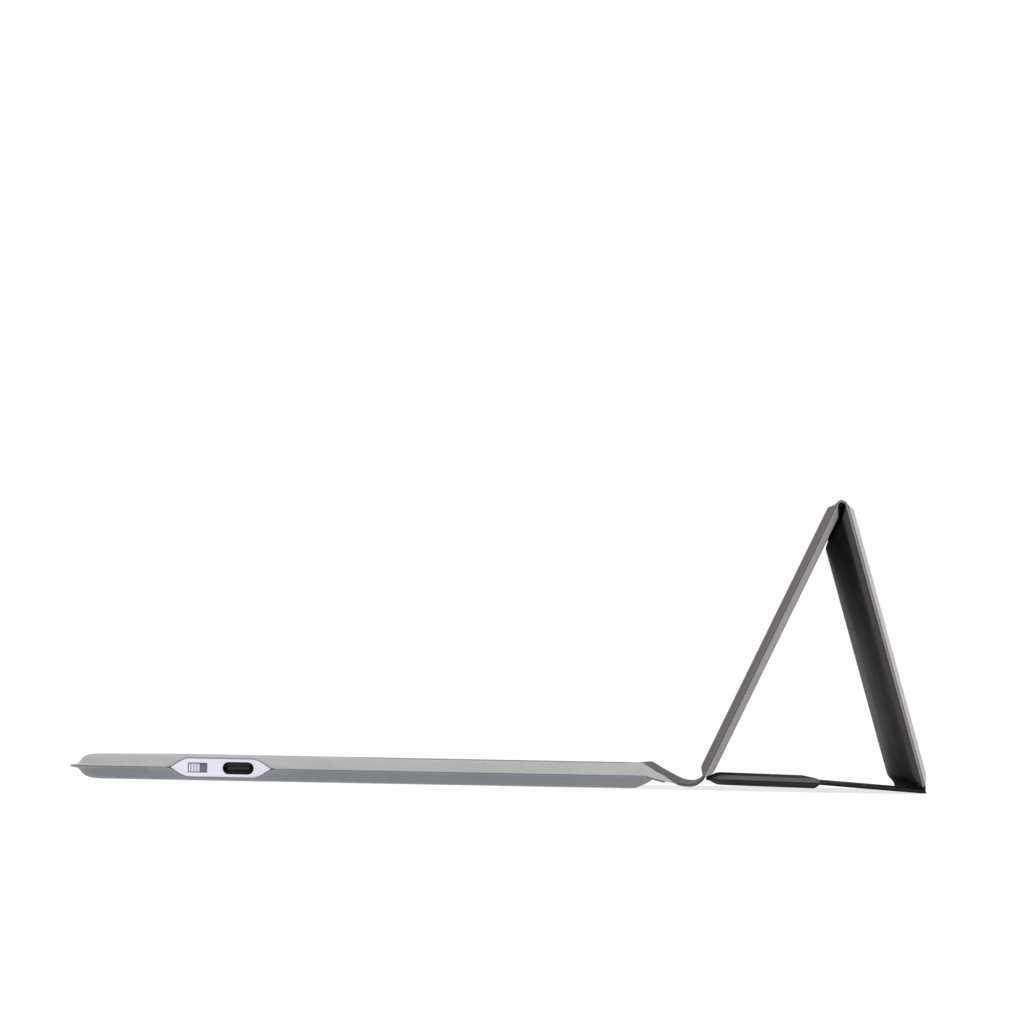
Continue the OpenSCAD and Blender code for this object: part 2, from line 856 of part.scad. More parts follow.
// Corner posts for the flap, which is rounded only at its free edge.
module posts_flap(half_x, y0, y1, z0, height, r_free)
{
    posts(half_x, y0, y1, z0, z0 + height, 1.5, r_free);
}

module front_flap_skin()
{
    color(leather_grey) {
        in_flap_lead() sheet_layer(fold_gap, lead_len, 1);
        in_front_flap() flap_cover(1);
    }
}

module front_flap_lining()
{
    color(lining_grey) {
        in_flap_lead() sheet_layer(fold_gap, lead_len, -1);
        in_front_flap() flap_cover(-1);
    }
}

module front_flap_board()
{
    color("#c9c4b6") in_front_flap() board_space(flap_board, 0);
}

module flap_magnets()
{
    color(metal_grey) in_front_flap() flap_magnet_places(0);
}

// ---------- assembly ----------

top_skin();
bottom_skin();
key_frame();
base_tray();
backing_plate();
key_membrane();
rubber_domes();
key_scissors();
stabiliser_bars();
main_board();
battery();
closure_magnets();
case_screws();
status_lights();
port_bezel();
usb_socket_shell();
usb_socket_tongue();
switch_body();
switch_knob();
touchpad_plate();
touchpad_board();
touchpad_bracket();
touchpad_click_dome();
function_keys();
number_keys();
delete_key();
tab_key();
upper_letter_keys();
caps_lock_key();
home_letter_keys();
return_key();
left_shift_key();
lower_letter_keys();
right_shift_key();
left_modifier_keys();
space_bar();
right_modifier_keys();
left_arrow_key();
up_arrow_key();
down_arrow_key();
right_arrow_key();
spine_skin();
spine_lining();
back_panel_skin();
back_panel_board();
back_panel_lining();
tablet_magnets();
flap_keeper();
rear_leg_skin();
rear_leg_board();
rear_leg_lining();
foot_strip_skin();
foot_strip_lining();
front_flap_skin();
front_flap_board();
front_flap_lining();
flap_magnets();
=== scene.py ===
import json
import math

import bpy
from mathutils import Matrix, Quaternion, Vector
from mathutils.geometry import tessellate_polygon


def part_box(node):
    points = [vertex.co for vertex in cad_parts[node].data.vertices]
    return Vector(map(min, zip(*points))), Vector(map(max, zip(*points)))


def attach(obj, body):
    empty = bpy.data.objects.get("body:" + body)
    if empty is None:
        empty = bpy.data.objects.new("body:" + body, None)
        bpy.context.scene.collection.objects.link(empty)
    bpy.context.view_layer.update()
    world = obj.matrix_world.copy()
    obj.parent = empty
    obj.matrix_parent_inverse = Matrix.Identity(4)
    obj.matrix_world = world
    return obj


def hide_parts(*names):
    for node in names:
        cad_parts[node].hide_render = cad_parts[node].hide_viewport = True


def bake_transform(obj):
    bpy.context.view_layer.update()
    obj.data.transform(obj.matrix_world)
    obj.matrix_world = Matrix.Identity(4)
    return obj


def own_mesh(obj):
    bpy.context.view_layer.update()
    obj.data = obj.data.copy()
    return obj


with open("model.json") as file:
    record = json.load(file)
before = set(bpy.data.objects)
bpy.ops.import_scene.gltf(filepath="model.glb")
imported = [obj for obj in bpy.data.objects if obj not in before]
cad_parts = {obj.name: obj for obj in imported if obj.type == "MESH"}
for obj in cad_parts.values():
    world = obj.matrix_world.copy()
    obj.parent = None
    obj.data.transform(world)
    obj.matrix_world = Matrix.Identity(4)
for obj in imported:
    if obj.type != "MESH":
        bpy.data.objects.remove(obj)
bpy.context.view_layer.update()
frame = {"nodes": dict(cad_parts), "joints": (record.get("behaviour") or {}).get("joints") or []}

# The looks of a folding tablet keyboard case. Shapes are worked out in millimetres in the frame of
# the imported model: +X is the typist's right, +Y points away from the typist and +Z is up.

MM = 0.001
JOINTS = {joint["name"]: joint for joint in frame["joints"]}


def box_mm(node):
    low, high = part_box(node)
    return low / MM, high / MM


def middle_y(node):
    low, high = box_mm(node)
    return (low.y + high.y) / 2


def fold_mm(joint):
    """A fold's place as (y, z), in millimetres."""
    place = JOINTS[joint]["pos_m"]
    return Vector((place[1] / MM, place[2] / MM))


# ---------- sizes taken from the frame ----------

TOP_LOW, TOP_HIGH = box_mm("top_skin")
BOTTOM_HIGH = box_mm("bottom_skin")[1]
HALF_W = TOP_HIGH.x
Y_FRONT = TOP_LOW.y
REAR_OVERHANG = 0.45
Y_REAR = TOP_HIGH.y + REAR_OVERHANG
BASE_T = TOP_HIGH.z
SEAM_Z = (TOP_LOW.z + BOTTOM_HIGH.z) / 2

SPINE_FOLD = fold_mm("spine_fold")
CREASE = fold_mm("crease_fold")
TOP_FOLD = fold_mm("top_fold")
FOOT_FOLD = fold_mm("foot_fold")
WRAP_FOLD = fold_mm("wrap_fold")

# A panel's lean is in degrees up from +Y. Its spans and lengths are measured from its fold.
BACK_LEAN = 64.9
BACK_T = 4.2
BACK_SPAN = (0.35, 90.8)
LEG_LEAN = -73.84
LEG_T = 3.9
LEG_OFFSET = 0.92
LEG_SPAN = (1.5, 88.5)
STRIP_ANGLE = 176.3
LEAD_LEN = 12.9
FLAP_ANGLE = 178.9
FLAP_T = 3.1
FLAP_LEN = 34.3
SHEET_HALF = 0.45
SHEET_INSET = 1.0


def direction(degrees):
    return Vector((math.cos(math.radians(degrees)), math.sin(math.radians(degrees))))


def normal(degrees):
    return Vector((-math.sin(math.radians(degrees)), math.cos(math.radians(degrees))))


LEG_ORIGIN = TOP_FOLD + normal(LEG_LEAN) * LEG_OFFSET
FLAP_ORIGIN = WRAP_FOLD + direction(STRIP_ANGLE) * LEAD_LEN


# ---------- materials ----------


def new_material(name):
    material = bpy.data.materials.new(name)
    material.use_nodes = True
    tree = material.node_tree
    return material, tree, tree.nodes["Principled BSDF"]


def object_coordinates(tree):
    return tree.nodes.new("ShaderNodeTexCoord").outputs["Object"]


def noise(tree, scale, detail=3.0, stretch=(1, 1, 1)):
    mapping = tree.nodes.new("ShaderNodeMapping")
    mapping.inputs["Scale"].default_value = stretch
    texture = tree.nodes.new("ShaderNodeTexNoise")
    texture.inputs["Scale"].default_value = scale
    texture.inputs["Detail"].default_value = detail
    tree.links.new(object_coordinates(tree), mapping.inputs["Vector"])
    tree.links.new(mapping.outputs["Vector"], texture.inputs["Vector"])
    return texture.outputs["Fac"]


def cells(tree, scale):
    texture = tree.nodes.new("ShaderNodeTexVoronoi")
    texture.inputs["Scale"].default_value = scale
    tree.links.new(object_coordinates(tree), texture.inputs["Vector"])
    return texture.outputs["Distance"]


def ramp(tree, value, stops):
    """Maps a 0 to 1 value to colours. stops are (place, colour)."""
    node = tree.nodes.new("ShaderNodeValToRGB")
    elements = node.color_ramp.elements
    while len(elements) < len(stops):
        elements.new(0.5)
    for element, (place, colour) in zip(elements, stops):
        element.position = place
        element.color = (*colour, 1)
    tree.links.new(value, node.inputs["Fac"])
    return node.outputs["Color"]


def math_node(tree, operation, a, b):
    node = tree.nodes.new("ShaderNodeMath")
    node.operation = operation
    for socket, value in zip(node.inputs, (a, b)):
        if isinstance(value, (int, float)):
            socket.default_value = value
        else:
            tree.links.new(value, socket)
    return node.outputs["Value"]


def bump(tree, shader, height, strength, distance):
    node = tree.nodes.new("ShaderNodeBump")
    node.inputs["Strength"].default_value = strength
    node.inputs["Distance"].default_value = distance
    tree.links.new(height, node.inputs["Height"])
    tree.links.new(node.outputs["Normal"], shader.inputs["Normal"])


def vary_colour(tree, shader, value, stops):
    tree.links.new(ramp(tree, value, stops), shader.inputs["Base Color"])


def vary_gloss(tree, shader, value, roughness, below, above):
    """Lets the roughness follow a 0 to 1 value, from below its middle to above it."""
    gloss = ramp(tree, value, [(0.3, (roughness - below,) * 3), (0.7, (roughness + above,) * 3)])
    tree.links.new(gloss, shader.inputs["Roughness"])


def shade(colour, factor):
    return tuple(min(1.0, channel * factor) for channel in colour)


def leather(name, colour, roughness=0.56, grain=1500, relief=0.5, shine=0.42, sheen=0.12):
    """Pressed leatherette: fine pebbles, a few creases and slow changes of tone."""
    material, tree, shader = new_material(name)
    pebbles = cells(tree, grain)
    pores = noise(tree, grain * 2.2, 2.0)
    tone = noise(tree, 38, 4.0)
    height = math_node(tree, "ADD", pebbles, math_node(tree, "MULTIPLY", pores, 0.5))
    spread = math_node(tree, "ADD", math_node(tree, "MULTIPLY", tone, 0.75),
                       math_node(tree, "MULTIPLY", pebbles, 0.35))
    vary_colour(tree, shader, spread,
                [(0.25, shade(colour, 0.9)), (0.55, colour), (0.85, shade(colour, 1.1))])
    vary_gloss(tree, shader, tone, roughness, 0.05, 0.06)
    shader.inputs["Specular IOR Level"].default_value = shine
    shader.inputs["Sheen Weight"].default_value = sheen
    shader.inputs["Sheen Roughness"].default_value = 0.5
    bump(tree, shader, height, relief, 0.00012)
    return material


def plastic(name, colour, roughness=0.45, relief=0.12, grain=5200, coat=0.0):
    """Moulded plastic with a fine spark-eroded texture."""
    material, tree, shader = new_material(name)
    speckle = noise(tree, grain, 2.0)
    tone = noise(tree, 60, 3.0)
    vary_colour(tree, shader, tone, [(0.3, shade(colour, 0.94)), (0.7, shade(colour, 1.05))])
    vary_gloss(tree, shader, speckle, roughness, 0.04, 0.05)
    shader.inputs["Specular IOR Level"].default_value = 0.45
    shader.inputs["Coat Weight"].default_value = coat
    bump(tree, shader, speckle, relief, 0.00003)
    return material


def metal(name, colour, roughness=0.3, stretch=(1, 40, 40)):
    """Rolled or plated metal with fine lines."""
    material, tree, shader = new_material(name)
    lines = noise(tree, 900, 3.0, stretch)
    vary_colour(tree, shader, lines, [(0.3, shade(colour, 0.88)), (0.7, shade(colour, 1.06))])
    vary_gloss(tree, shader, lines, roughness, 0.06, 0.08)
    shader.inputs["Metallic"].default_value = 1.0
    bump(tree, shader, lines, 0.06, 0.00002)
    return material


LEATHER = leather("leatherette", (0.335, 0.329, 0.332))
# Painted shade: a darker, bluer copy of the leatherette for the base's downward-facing underside and its
# rear lip.
UNDERSIDE_SHADED_LEATHER = leather("leatherette_underside_painted_shade", (0.175, 0.188, 0.205))
# Painted shade: a darker copy of the leatherette for the back panel's front, where the leaning tablet
# shades it.
TABLET_SHADED_LEATHER = leather("leatherette_painted_tablet_shade", (0.098, 0.088, 0.088), 0.58, shine=0.3, sheen=0.05)
SEAM_LINE = leather("seam_edge", (0.150, 0.124, 0.120), 0.7, shine=0.2, sheen=0.0)
# Partly a real dark lining and partly painted shade: its colour is darkened further for the shaded faces
# inside the stand and on the flap and the strip.
LINING = leather("lining", (0.021, 0.020, 0.022), 0.62, 1900, 0.4, 0.22, 0.03)
# Painted light: a lighter copy of the lining for the rear leg's inner bevels, which catch more light than
# its shaded face.
LINING_BEVEL_LIGHT = leather("lining_bevel_painted_light", (0.060, 0.057, 0.060), 0.6, 1900, 0.4, 0.3, 0.05)
PALE_SEAM = leather("pale_seam_edge", (0.225, 0.190, 0.195), 0.7, shine=0.2, sheen=0.0)
# Painted shade: a darker copy of the leatherette for the spine and the crease.
SPINE_SHADE = leather("spine_painted_shade", (0.066, 0.062, 0.065), 0.6, shine=0.22, sheen=0.03)
# Painted shade: a darker copy of the leatherette for the arch over the top fold.
ARCH_SHADE = leather("fold_leather", (0.162, 0.150, 0.152), 0.6, shine=0.3, sheen=0.05)
# Painted shade: near black, for the flap's under bevel and seam, the arch's underside and the strip's edges
# and underside.
DEEP_SHADE = leather("deep_painted_shade", (0.008, 0.008, 0.010), 0.68, 1900, 0.4, 0.1, 0.0)
# Painted light: a lighter copy of the lining for the flap's upper bevel, which faces the light.
FLAP_BEVEL_LIGHT = leather("flap_bevel_painted_light", (0.112, 0.110, 0.116), 0.6, 1900, 0.4, 0.3, 0.05)
DECK = plastic("deck_plastic", (0.150, 0.150, 0.156), 0.5)
KEY = plastic("key_plastic", (0.052, 0.053, 0.057), 0.42)
LEGEND = plastic("legend_ink", (0.72, 0.72, 0.72), 0.5, 0.05)
TRAY = plastic("tray_plastic", (0.075, 0.075, 0.08), 0.5)
BEZEL = plastic("bezel_plastic", (0.61, 0.59, 0.69), 0.42, 0.06)
KNOB_PLASTIC = plastic("knob_plastic", (0.60, 0.59, 0.64), 0.42, 0.08)
RECESS = plastic("switch_recess", (0.15, 0.145, 0.18), 0.5)
# Painted shade: the USB socket's shell is near black, as the shade inside the port.
SOCKET_SHADE = metal("socket_metal_painted_shade", (0.012, 0.012, 0.014), 0.45)
PAD = plastic("touchpad_surface", (0.205, 0.205, 0.21), 0.36, 0.05)
BEAD = plastic("port_black", (0.006, 0.006, 0.007), 0.5)
STEEL = metal("plate_metal", (0.62, 0.62, 0.64), 0.32)
DARK_STEEL = metal("port_metal", (0.10, 0.10, 0.105), 0.34)
NICKEL = metal("magnet_metal", (0.70, 0.69, 0.67), 0.18)
COPPER_BOARD = plastic("circuit_board", (0.02, 0.11, 0.06), 0.3, 0.1, 2600, 0.4)
FOIL = metal("battery_foil", (0.6, 0.61, 0.63), 0.38, (1, 1, 1))
RUBBER = plastic("dome_rubber", (0.74, 0.74, 0.71), 0.62)
FILM = plastic("membrane_film", (0.62, 0.65, 0.63), 0.2, 0.03, 900, 0.5)
LINK = plastic("link_plastic", (0.78, 0.78, 0.76), 0.36)
BOARD = plastic("stiffener_board", (0.46, 0.43, 0.36), 0.75, 0.4, 1500)
LIGHT_PIPE = plastic("light_pipe", (0.74, 0.80, 0.77), 0.16, 0.02)


# ---------- mesh tools ----------


def piece(name, points, faces, materials, body=None, sharp_angle=38, paint=None):
    """Makes an object from points in millimetres. paint gives each face's material by its number."""
    mesh = bpy.data.meshes.new(name)
    mesh.from_pydata([(x * MM, y * MM, z * MM) for x, y, z in points], [], faces)
    mesh.validate()
    made = bpy.data.objects.new(name, mesh)
    bpy.context.scene.collection.objects.link(made)
    for material in materials:
        mesh.materials.append(material)
    for polygon in mesh.polygons:
        polygon.use_smooth = True
        if paint:
            polygon.material_index = paint(polygon)
    mesh.set_sharp_from_angle(angle=math.radians(sharp_angle))
    if body:
        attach(made, body)
    return made


def numbers(start, count):
    """The point numbers of a ring."""
    return list(range(start, start + count))


def wall(a, b, count):
    """Quads between two rings of count points that start at the point numbers a and b."""
    return [(a + i, a + (i + 1) % count, b + (i + 1) % count, b + i) for i in range(count)]


def loft(rings):
    """Points and quads that join closed rings of equal length."""
    count = len(rings[0])
    points = [point for ring in rings for point in ring]
    faces = []
    for start in range(0, len(points) - count, count):
        faces += wall(start, start + count, count)
    return points, faces


def capped_loft(rings):
    """A loft with a face across each end."""
    count = len(rings[0])
    points, faces = loft(rings)
    faces.append(tuple(reversed(range(count))))
    faces.append(tuple(numbers(len(points) - count, count)))
    return points, faces


def add_hole(points, faces, rings, flip=False):
    """Adds the wall of a hole, and gives the point numbers of its first and last rings."""
    start, size = len(points), len(rings[0])
    hole_points, hole_faces = loft(rings)
    points += hole_points
    faces += [tuple(start + i for i in (face[::-1] if flip else face)) for face in hole_faces]
    return numbers(start, size), numbers(len(points) - size, size)


def joined(parts):
    """Several (points, faces) as one."""
    points, faces = [], []
    for part_points, part_faces in parts:
        start = len(points)
        points += part_points
        faces += [tuple(start + i for i in face) for face in part_faces]
    return points, faces


def fill(points, loops, flip=False):
    """Triangles that fill a flat face whose border is loops of point numbers: the outside, then holes."""
    outline = [[Vector(points[i]) for i in loop] for loop in loops]
    order = [i for loop in loops for i in loop]
    found = []
    for triangle in tessellate_polygon(outline):
        corners = [order[i] for i in triangle]
        a, b, c = (Vector(points[i]) for i in corners)
        area = (b - a).cross(c - a)
        if area.length < 1e-9:
            continue
        found.append(corners[::-1] if (area.z < 0) != flip else corners)
    return found


def corner_arc(centre, radius, start, steps):
    """Points on a quarter circle, from the angle start, anticlockwise. No radius gives one point."""
    if radius == 0:
        return [tuple(centre)]
    turns = [math.radians(start + 90 * i / steps) for i in range(steps + 1)]
    return [(centre[0] + radius * math.cos(t), centre[1] + radius * math.sin(t)) for t in turns]


def rounded_outline(x0, x1, y0, y1, radii, steps=6, side_places=()):
    """A rounded rectangle, anticlockwise from the bottom right corner. radii are front and rear.
    side_places are extra y values along both long sides."""
    front, rear = radii
    right = [(x1, y) for y in side_places]
    left = [(x0, y) for y in reversed(side_places)]
    return (
        corner_arc((x1 - front, y0 + front), front, -90, steps) + right
        + corner_arc((x1 - rear, y1 - rear), rear, 0, steps)
        + corner_arc((x0 + rear, y1 - rear), rear, 90, steps) + left
        + corner_arc((x0 + front, y0 + front), front, 180, steps)
    )


def circle(x, y, radius, steps=24):
    turns = [math.radians(360 * i / steps) for i in range(steps)]
    return [(x + radius * math.cos(t), y + radius * math.sin(t)) for t in turns]


def raised(outline, z):
    return [(x, y, z) for x, y in outline]


def smooth_curve(points, steps=4):
    """A Catmull-Rom curve through points, with steps between each two."""
    found = []
    ends = [points[0]] + list(points) + [points[-1]]
    for i in range(1, len(ends) - 2):
        p0, p1, p2, p3 = (Vector(p) for p in ends[i - 1:i + 3])
        for k in range(steps):
            t = k / steps
            found.append(0.5 * (2 * p1 + (p2 - p0) * t + (2 * p0 - 5 * p1 + 4 * p2 - p3) * t * t
                                + (3 * p1 - p0 - 3 * p2 + p3) * t ** 3))
    found.append(Vector(points[-1]))
    return found


def smoothstep(a, b, value):
    t = max(0.0, min(1.0, (value - a) / (b - a)))
    return t * t * (3 - 2 * t)


def paint_node(node, material):
    data = frame["nodes"][node].data
    data.materials.clear()
    data.materials.append(material)


# ---------- the base's two skins ----------

BEZEL_LOW, BEZEL_HIGH = box_mm("port_bezel")
BEZEL_Y = middle_y("port_bezel")
BEZEL_Z = (BEZEL_LOW.z + BEZEL_HIGH.z) / 2
BEZEL_TIP = (BEZEL_HIGH.y - BEZEL_LOW.y) / 2
BEZEL_TOP = (BEZEL_HIGH.z - BEZEL_LOW.z) / 2
BEZEL_FLAT = 9.35
FACE_X = BEZEL_HIGH.x
# The skins part round the bezel like eyelids. A lid closes over LID_FADE, curves over LID_SHARE of
# its rings and lies flat over LID_FLAT.
LID_GAP = 0.08
TIP_GAP = 0.16
LID_FADE = 9.0
LID_SHARE = 0.74
LID_FLAT = 1.2
HINGE_START = 80.0
# The core is what the two skins enclose.
CORE_X = 118.55
CORE_FRONT = Y_FRONT + 8.95
SKIN_GAP = 0.03
CORNER_R = 9.0
CORNER_STEPS = 8

# Cross-sections of the skins at the side edges and at the front edge. Each entry is
# (distance in from the side rim, distance in from the front rim, height).
TOP_PROFILE = smooth_curve([
    (0.12, 0.12, SEAM_Z + 0.04), (0.0, 0.0, SEAM_Z + 0.16), (0.05, 0.08, SEAM_Z + 0.32),
    (0.55, 1.10, SEAM_Z + 0.46), (1.05, 2.10, SEAM_Z + 0.62), (1.50, 2.70, SEAM_Z + 1.12),
    (2.00, 3.25, SEAM_Z + 1.95), (2.70, 3.95, SEAM_Z + 2.75), (3.70, 5.10, SEAM_Z + 3.35),
    (4.90, 6.60, BASE_T - 0.07), (6.20, 8.00, BASE_T),
], 3)
BOTTOM_PROFILE = smooth_curve([
    (0.12, 0.12, SEAM_Z - 0.04), (0.0, 0.0, SEAM_Z - 0.16), (0.05, 0.08, SEAM_Z - 0.32),
    (0.55, 1.10, SEAM_Z - 0.50), (1.05, 2.20, SEAM_Z - 0.74), (1.50, 2.85, SEAM_Z - 1.25),
    (2.00, 3.45, SEAM_Z - 2.10), (2.90, 4.60, SEAM_Z - 3.00), (4.20, 6.30, 0.18),
    (5.60, 8.00, 0.02), (6.60, 9.00, 0.0),
], 3)

# Where the skins' long sides have points: near the front corner, round the bezel, and behind it.
CORNER_PLACES = [-73 + 1.5 * i for i in range(4)]
LID_PLACES = [round(BEZEL_Y + 0.75 * i, 3) for i in range(-32, 33)]
PLAIN_PLACES = [-16 + 8.0 * i for i in range(12)]
SIDE_PLACES = sorted(set(CORNER_PLACES + LID_PLACES + PLAIN_PLACES))


def eyelid(t):
    """The share of the bezel's half height that is left at t, from its flat (0) to its tip (1)."""
    return 1 - t * t * (1.6 - 0.6 * t)


def eye_height(y):
    """Half the height of the bezel's outline at y."""
    t = (abs(y - BEZEL_Y) - BEZEL_FLAT) / (BEZEL_TIP - BEZEL_FLAT)
    return BEZEL_TOP * eyelid(max(0.0, min(1.0, t)))


def part_round_bezel(ring, share, side):
    """Lifts a ring of a skin's side so that the skin parts round the port bezel like an eyelid.
    share runs from 0 at the seam to 1 at the flat of the skin; side is 1 for the top skin."""
    moved = []
    for x, y, z in ring:
        away = abs(y - BEZEL_Y)
        pull = 1 - smoothstep(BEZEL_TIP - 3, BEZEL_TIP + LID_FADE, away)
        if x > 0 and pull > 0 and share < 1:
            tip_gap = TIP_GAP * (1 - smoothstep(BEZEL_TIP - 0.4, BEZEL_TIP + 1.2, away))
            rim = BEZEL_Z + side * max(0.04, eye_height(y) + min(LID_GAP, 5 * tip_gap) + tip_gap)
            flat = BASE_T if side > 0 else 0.0
            turn = math.pi / 2 * min(1.0, share / LID_SHARE)
            lid_z = rim + (flat - rim) * math.sin(turn) ** 0.8
            lid_x = HALF_W - 0.30 - 4.6 * (1 - math.cos(turn)) ** 1.3
            lid_x += 0.22 * math.sin(math.pi * min(1.0, share * 4))
            lid_x -= LID_FLAT * max(0.0, share - LID_SHARE) / (1 - LID_SHARE)
            x, z = x + (lid_x - x) * pull, z + (lid_z - z) * pull
        moved.append((x, y, z))
    return moved


def skin_rings(profile, side, y_end):
    """Outer rings of a skin, from the seam to its flat."""
    rings = []
    for k, (inset, front_inset, z) in enumerate(profile):
        flat = rounded_outline(-HALF_W + inset, HALF_W - inset, Y_FRONT + front_inset, y_end,
                               (CORNER_R - 0.5 * inset, 0), CORNER_STEPS, SIDE_PLACES)
        rings.append(part_round_bezel(raised(flat, z), k / (len(profile) - 1), side))
    return rings


def core_rings(y_end, seam_z, flat_z):
    """Inner rings of a skin, at the seam and under its flat."""
    outline = rounded_outline(-CORE_X, CORE_X, CORE_FRONT, y_end, (1.0, 0), CORNER_STEPS, SIDE_PLACES)
    return [raised(outline, z) for z in (seam_z, flat_z)]


def opening_rings(x0, x1, y0, y1, radius, floor_z):
    """The rolled edge of an opening in the top skin, from the flat down to its floor."""
    roll = 0.45
    rings = []
    for k in range(6):
        turn = math.pi / 2 * k / 5
        out = roll * (1 - math.sin(turn))
        z = BASE_T - roll * (1 - math.cos(turn))
        rings.append(raised(rounded_outline(
            x0 - out, x1 + out, y0 - out, y1 + out, (radius + out, radius + out), 5), z))
    rings.append([(x, y, floor_z) for x, y, _ in rings[-1]])
    return rings


FRAME_TOP = box_mm("key_frame")[1].z
WELL_R = 0.6
TOUCHPAD_R = 4.0
TOUCHPAD_CLEAR = 0.4
LIGHT_R = 0.62


def well_edges():
    """The key well's edges: x0, x1, y0, y1, from the rows of keys and their margin."""
    margin = 1.3
    low, high = box_mm("function_keys")
    space_low, _ = box_mm("space_bar")
    return low.x - margin, high.x + margin, space_low.y - margin, high.y + margin


def touchpad_edges():
    low, high = box_mm("touchpad_plate")
    clear = TOUCHPAD_CLEAR
    return low.x - clear, high.x + clear, low.y - clear, high.y + clear


def light_places():
    """Middles of the status lights, from their boxes."""
    low, high = box_mm("status_lights")
    x0, x1 = low.x + LIGHT_R, high.x - LIGHT_R
    return [(x0 + (x1 - x0) * k / 2, middle_y("status_lights")) for k in range(3)]


def light_hole(x, y, ceiling):
    """The countersunk hole of one status light."""
    levels = ((0.95, BASE_T), (0.8, BASE_T - 0.12), (0.72, BASE_T - 0.3), (0.72, ceiling))
    return [raised(circle(x, y, radius), z) for radius, z in levels]


def top_cover():
    ceiling = FRAME_TOP + SKIN_GAP
    rings = skin_rings(TOP_PROFILE, 1, HINGE_START)
    points, faces = loft(rings)
    count = len(rings[0])
    upper, lower = [numbers(len(points) - count, count)], []
    holes = [
        opening_rings(*well_edges(), WELL_R, ceiling),
        opening_rings(*touchpad_edges(), TOUCHPAD_R + 0.3, ceiling),
    ]
    holes += [light_hole(x, y, ceiling) for x, y in light_places()]
    for hole in holes:
        first, last = add_hole(points, faces, hole)
        upper.append(first)
        lower.append(last)
    faces += fill(points, upper)
    # The inside: along the seam plane to the core's wall, up it, and across under the flat.
    start = len(points)
    for ring in core_rings(HINGE_START - 0.02, SEAM_Z + SKIN_GAP, ceiling):
        points += ring
    faces += wall(start, 0, count) + wall(start + count, start, count)
    faces += fill(points, [numbers(start + count, count)] + lower, True)
    made = piece("base_top_cover", points, faces, [LEATHER], "base")
    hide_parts("top_skin")


# The bottom skin's rear edge leans forward as it goes down: (distance in from Y_REAR, height).
REAR_EDGE = smooth_curve([
    (0.8, SEAM_Z), (1.1, SEAM_Z - 0.25), (1.45, SEAM_Z - 0.75), (1.8, SEAM_Z - 1.45),
    (2.25, SEAM_Z - 2.2), (2.95, 0.8), (4.0, 0.25), (5.2, 0.0),
], 4)


def rear_inset(z):
    """How far in from Y_REAR the bottom skin ends at the height z."""
    for (a, za), (b, zb) in zip(REAR_EDGE, REAR_EDGE[1:]):
        if zb <= z <= za:
            return a + (b - a) * (za - z) / max(1e-6, za - zb)
    return REAR_EDGE[-1][0]


def bottom_cover():
    floor_z = 0.82
    side_end = Y_REAR - 4.6
    core_end = Y_REAR - 4.95
    shaped = []
    for ring in skin_rings(BOTTOM_PROFILE, -1, side_end):
        y_end = Y_REAR - rear_inset(max(ring[0][2], 0.0))
        shaped.append([(x, y_end if y == side_end else y, z) for x, y, z in ring])
    points, faces = loft(shaped)
    faces = [face[::-1] for face in faces]
    count = len(shaped[0])
    start = len(points)
    faces += fill(points, [numbers(start - count, count)], True)
    for ring in core_rings(core_end, SEAM_Z - SKIN_GAP, floor_z):
        points += ring
    faces += wall(0, start, count) + wall(start, start + count, count)
    faces += fill(points, [numbers(start + count, count)])
    # The bottom skin takes the underside's darker copy of the leatherette, as painted shade.
    made = piece("base_bottom_cover", points, faces, [UNDERSIDE_SHADED_LEATHER], "base")
    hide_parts("bottom_skin")


# ---------- the stand's stiff panels ----------


# The seam's colour covers this many rows of a panel's profile. Past them, a face that leans sideways
# by more than BEVEL_TILT is a bevel.
SEAM_ROWS = 5
BEVEL_TILT = 0.12
LEG_SEAM = 0.35
BOARD_INSET = 7
BOARD_GAP = 0.03
PANEL_STEPS = 7


def panel_profile(thick, lip, seam):
    """Half a panel's edge: (share of the bevel's run, distance from the panel's middle). The two
    covers meet at a distance of seam from the middle."""
    top = thick / 2
    return smooth_curve([
        (0.03, seam + 0.03), (0.0, seam + 0.12), (0.01, lip - 0.1), (0.07, lip - 0.03),
        (0.17, lip + 0.03),
        (0.30, lip + 0.16 * (top - lip)), (0.50, lip + 0.46 * (top - lip)),
        (0.72, lip + 0.78 * (top - lip)), (0.92, top - 0.07), (1.15, top - 0.01), (1.4, top),
    ], 3)


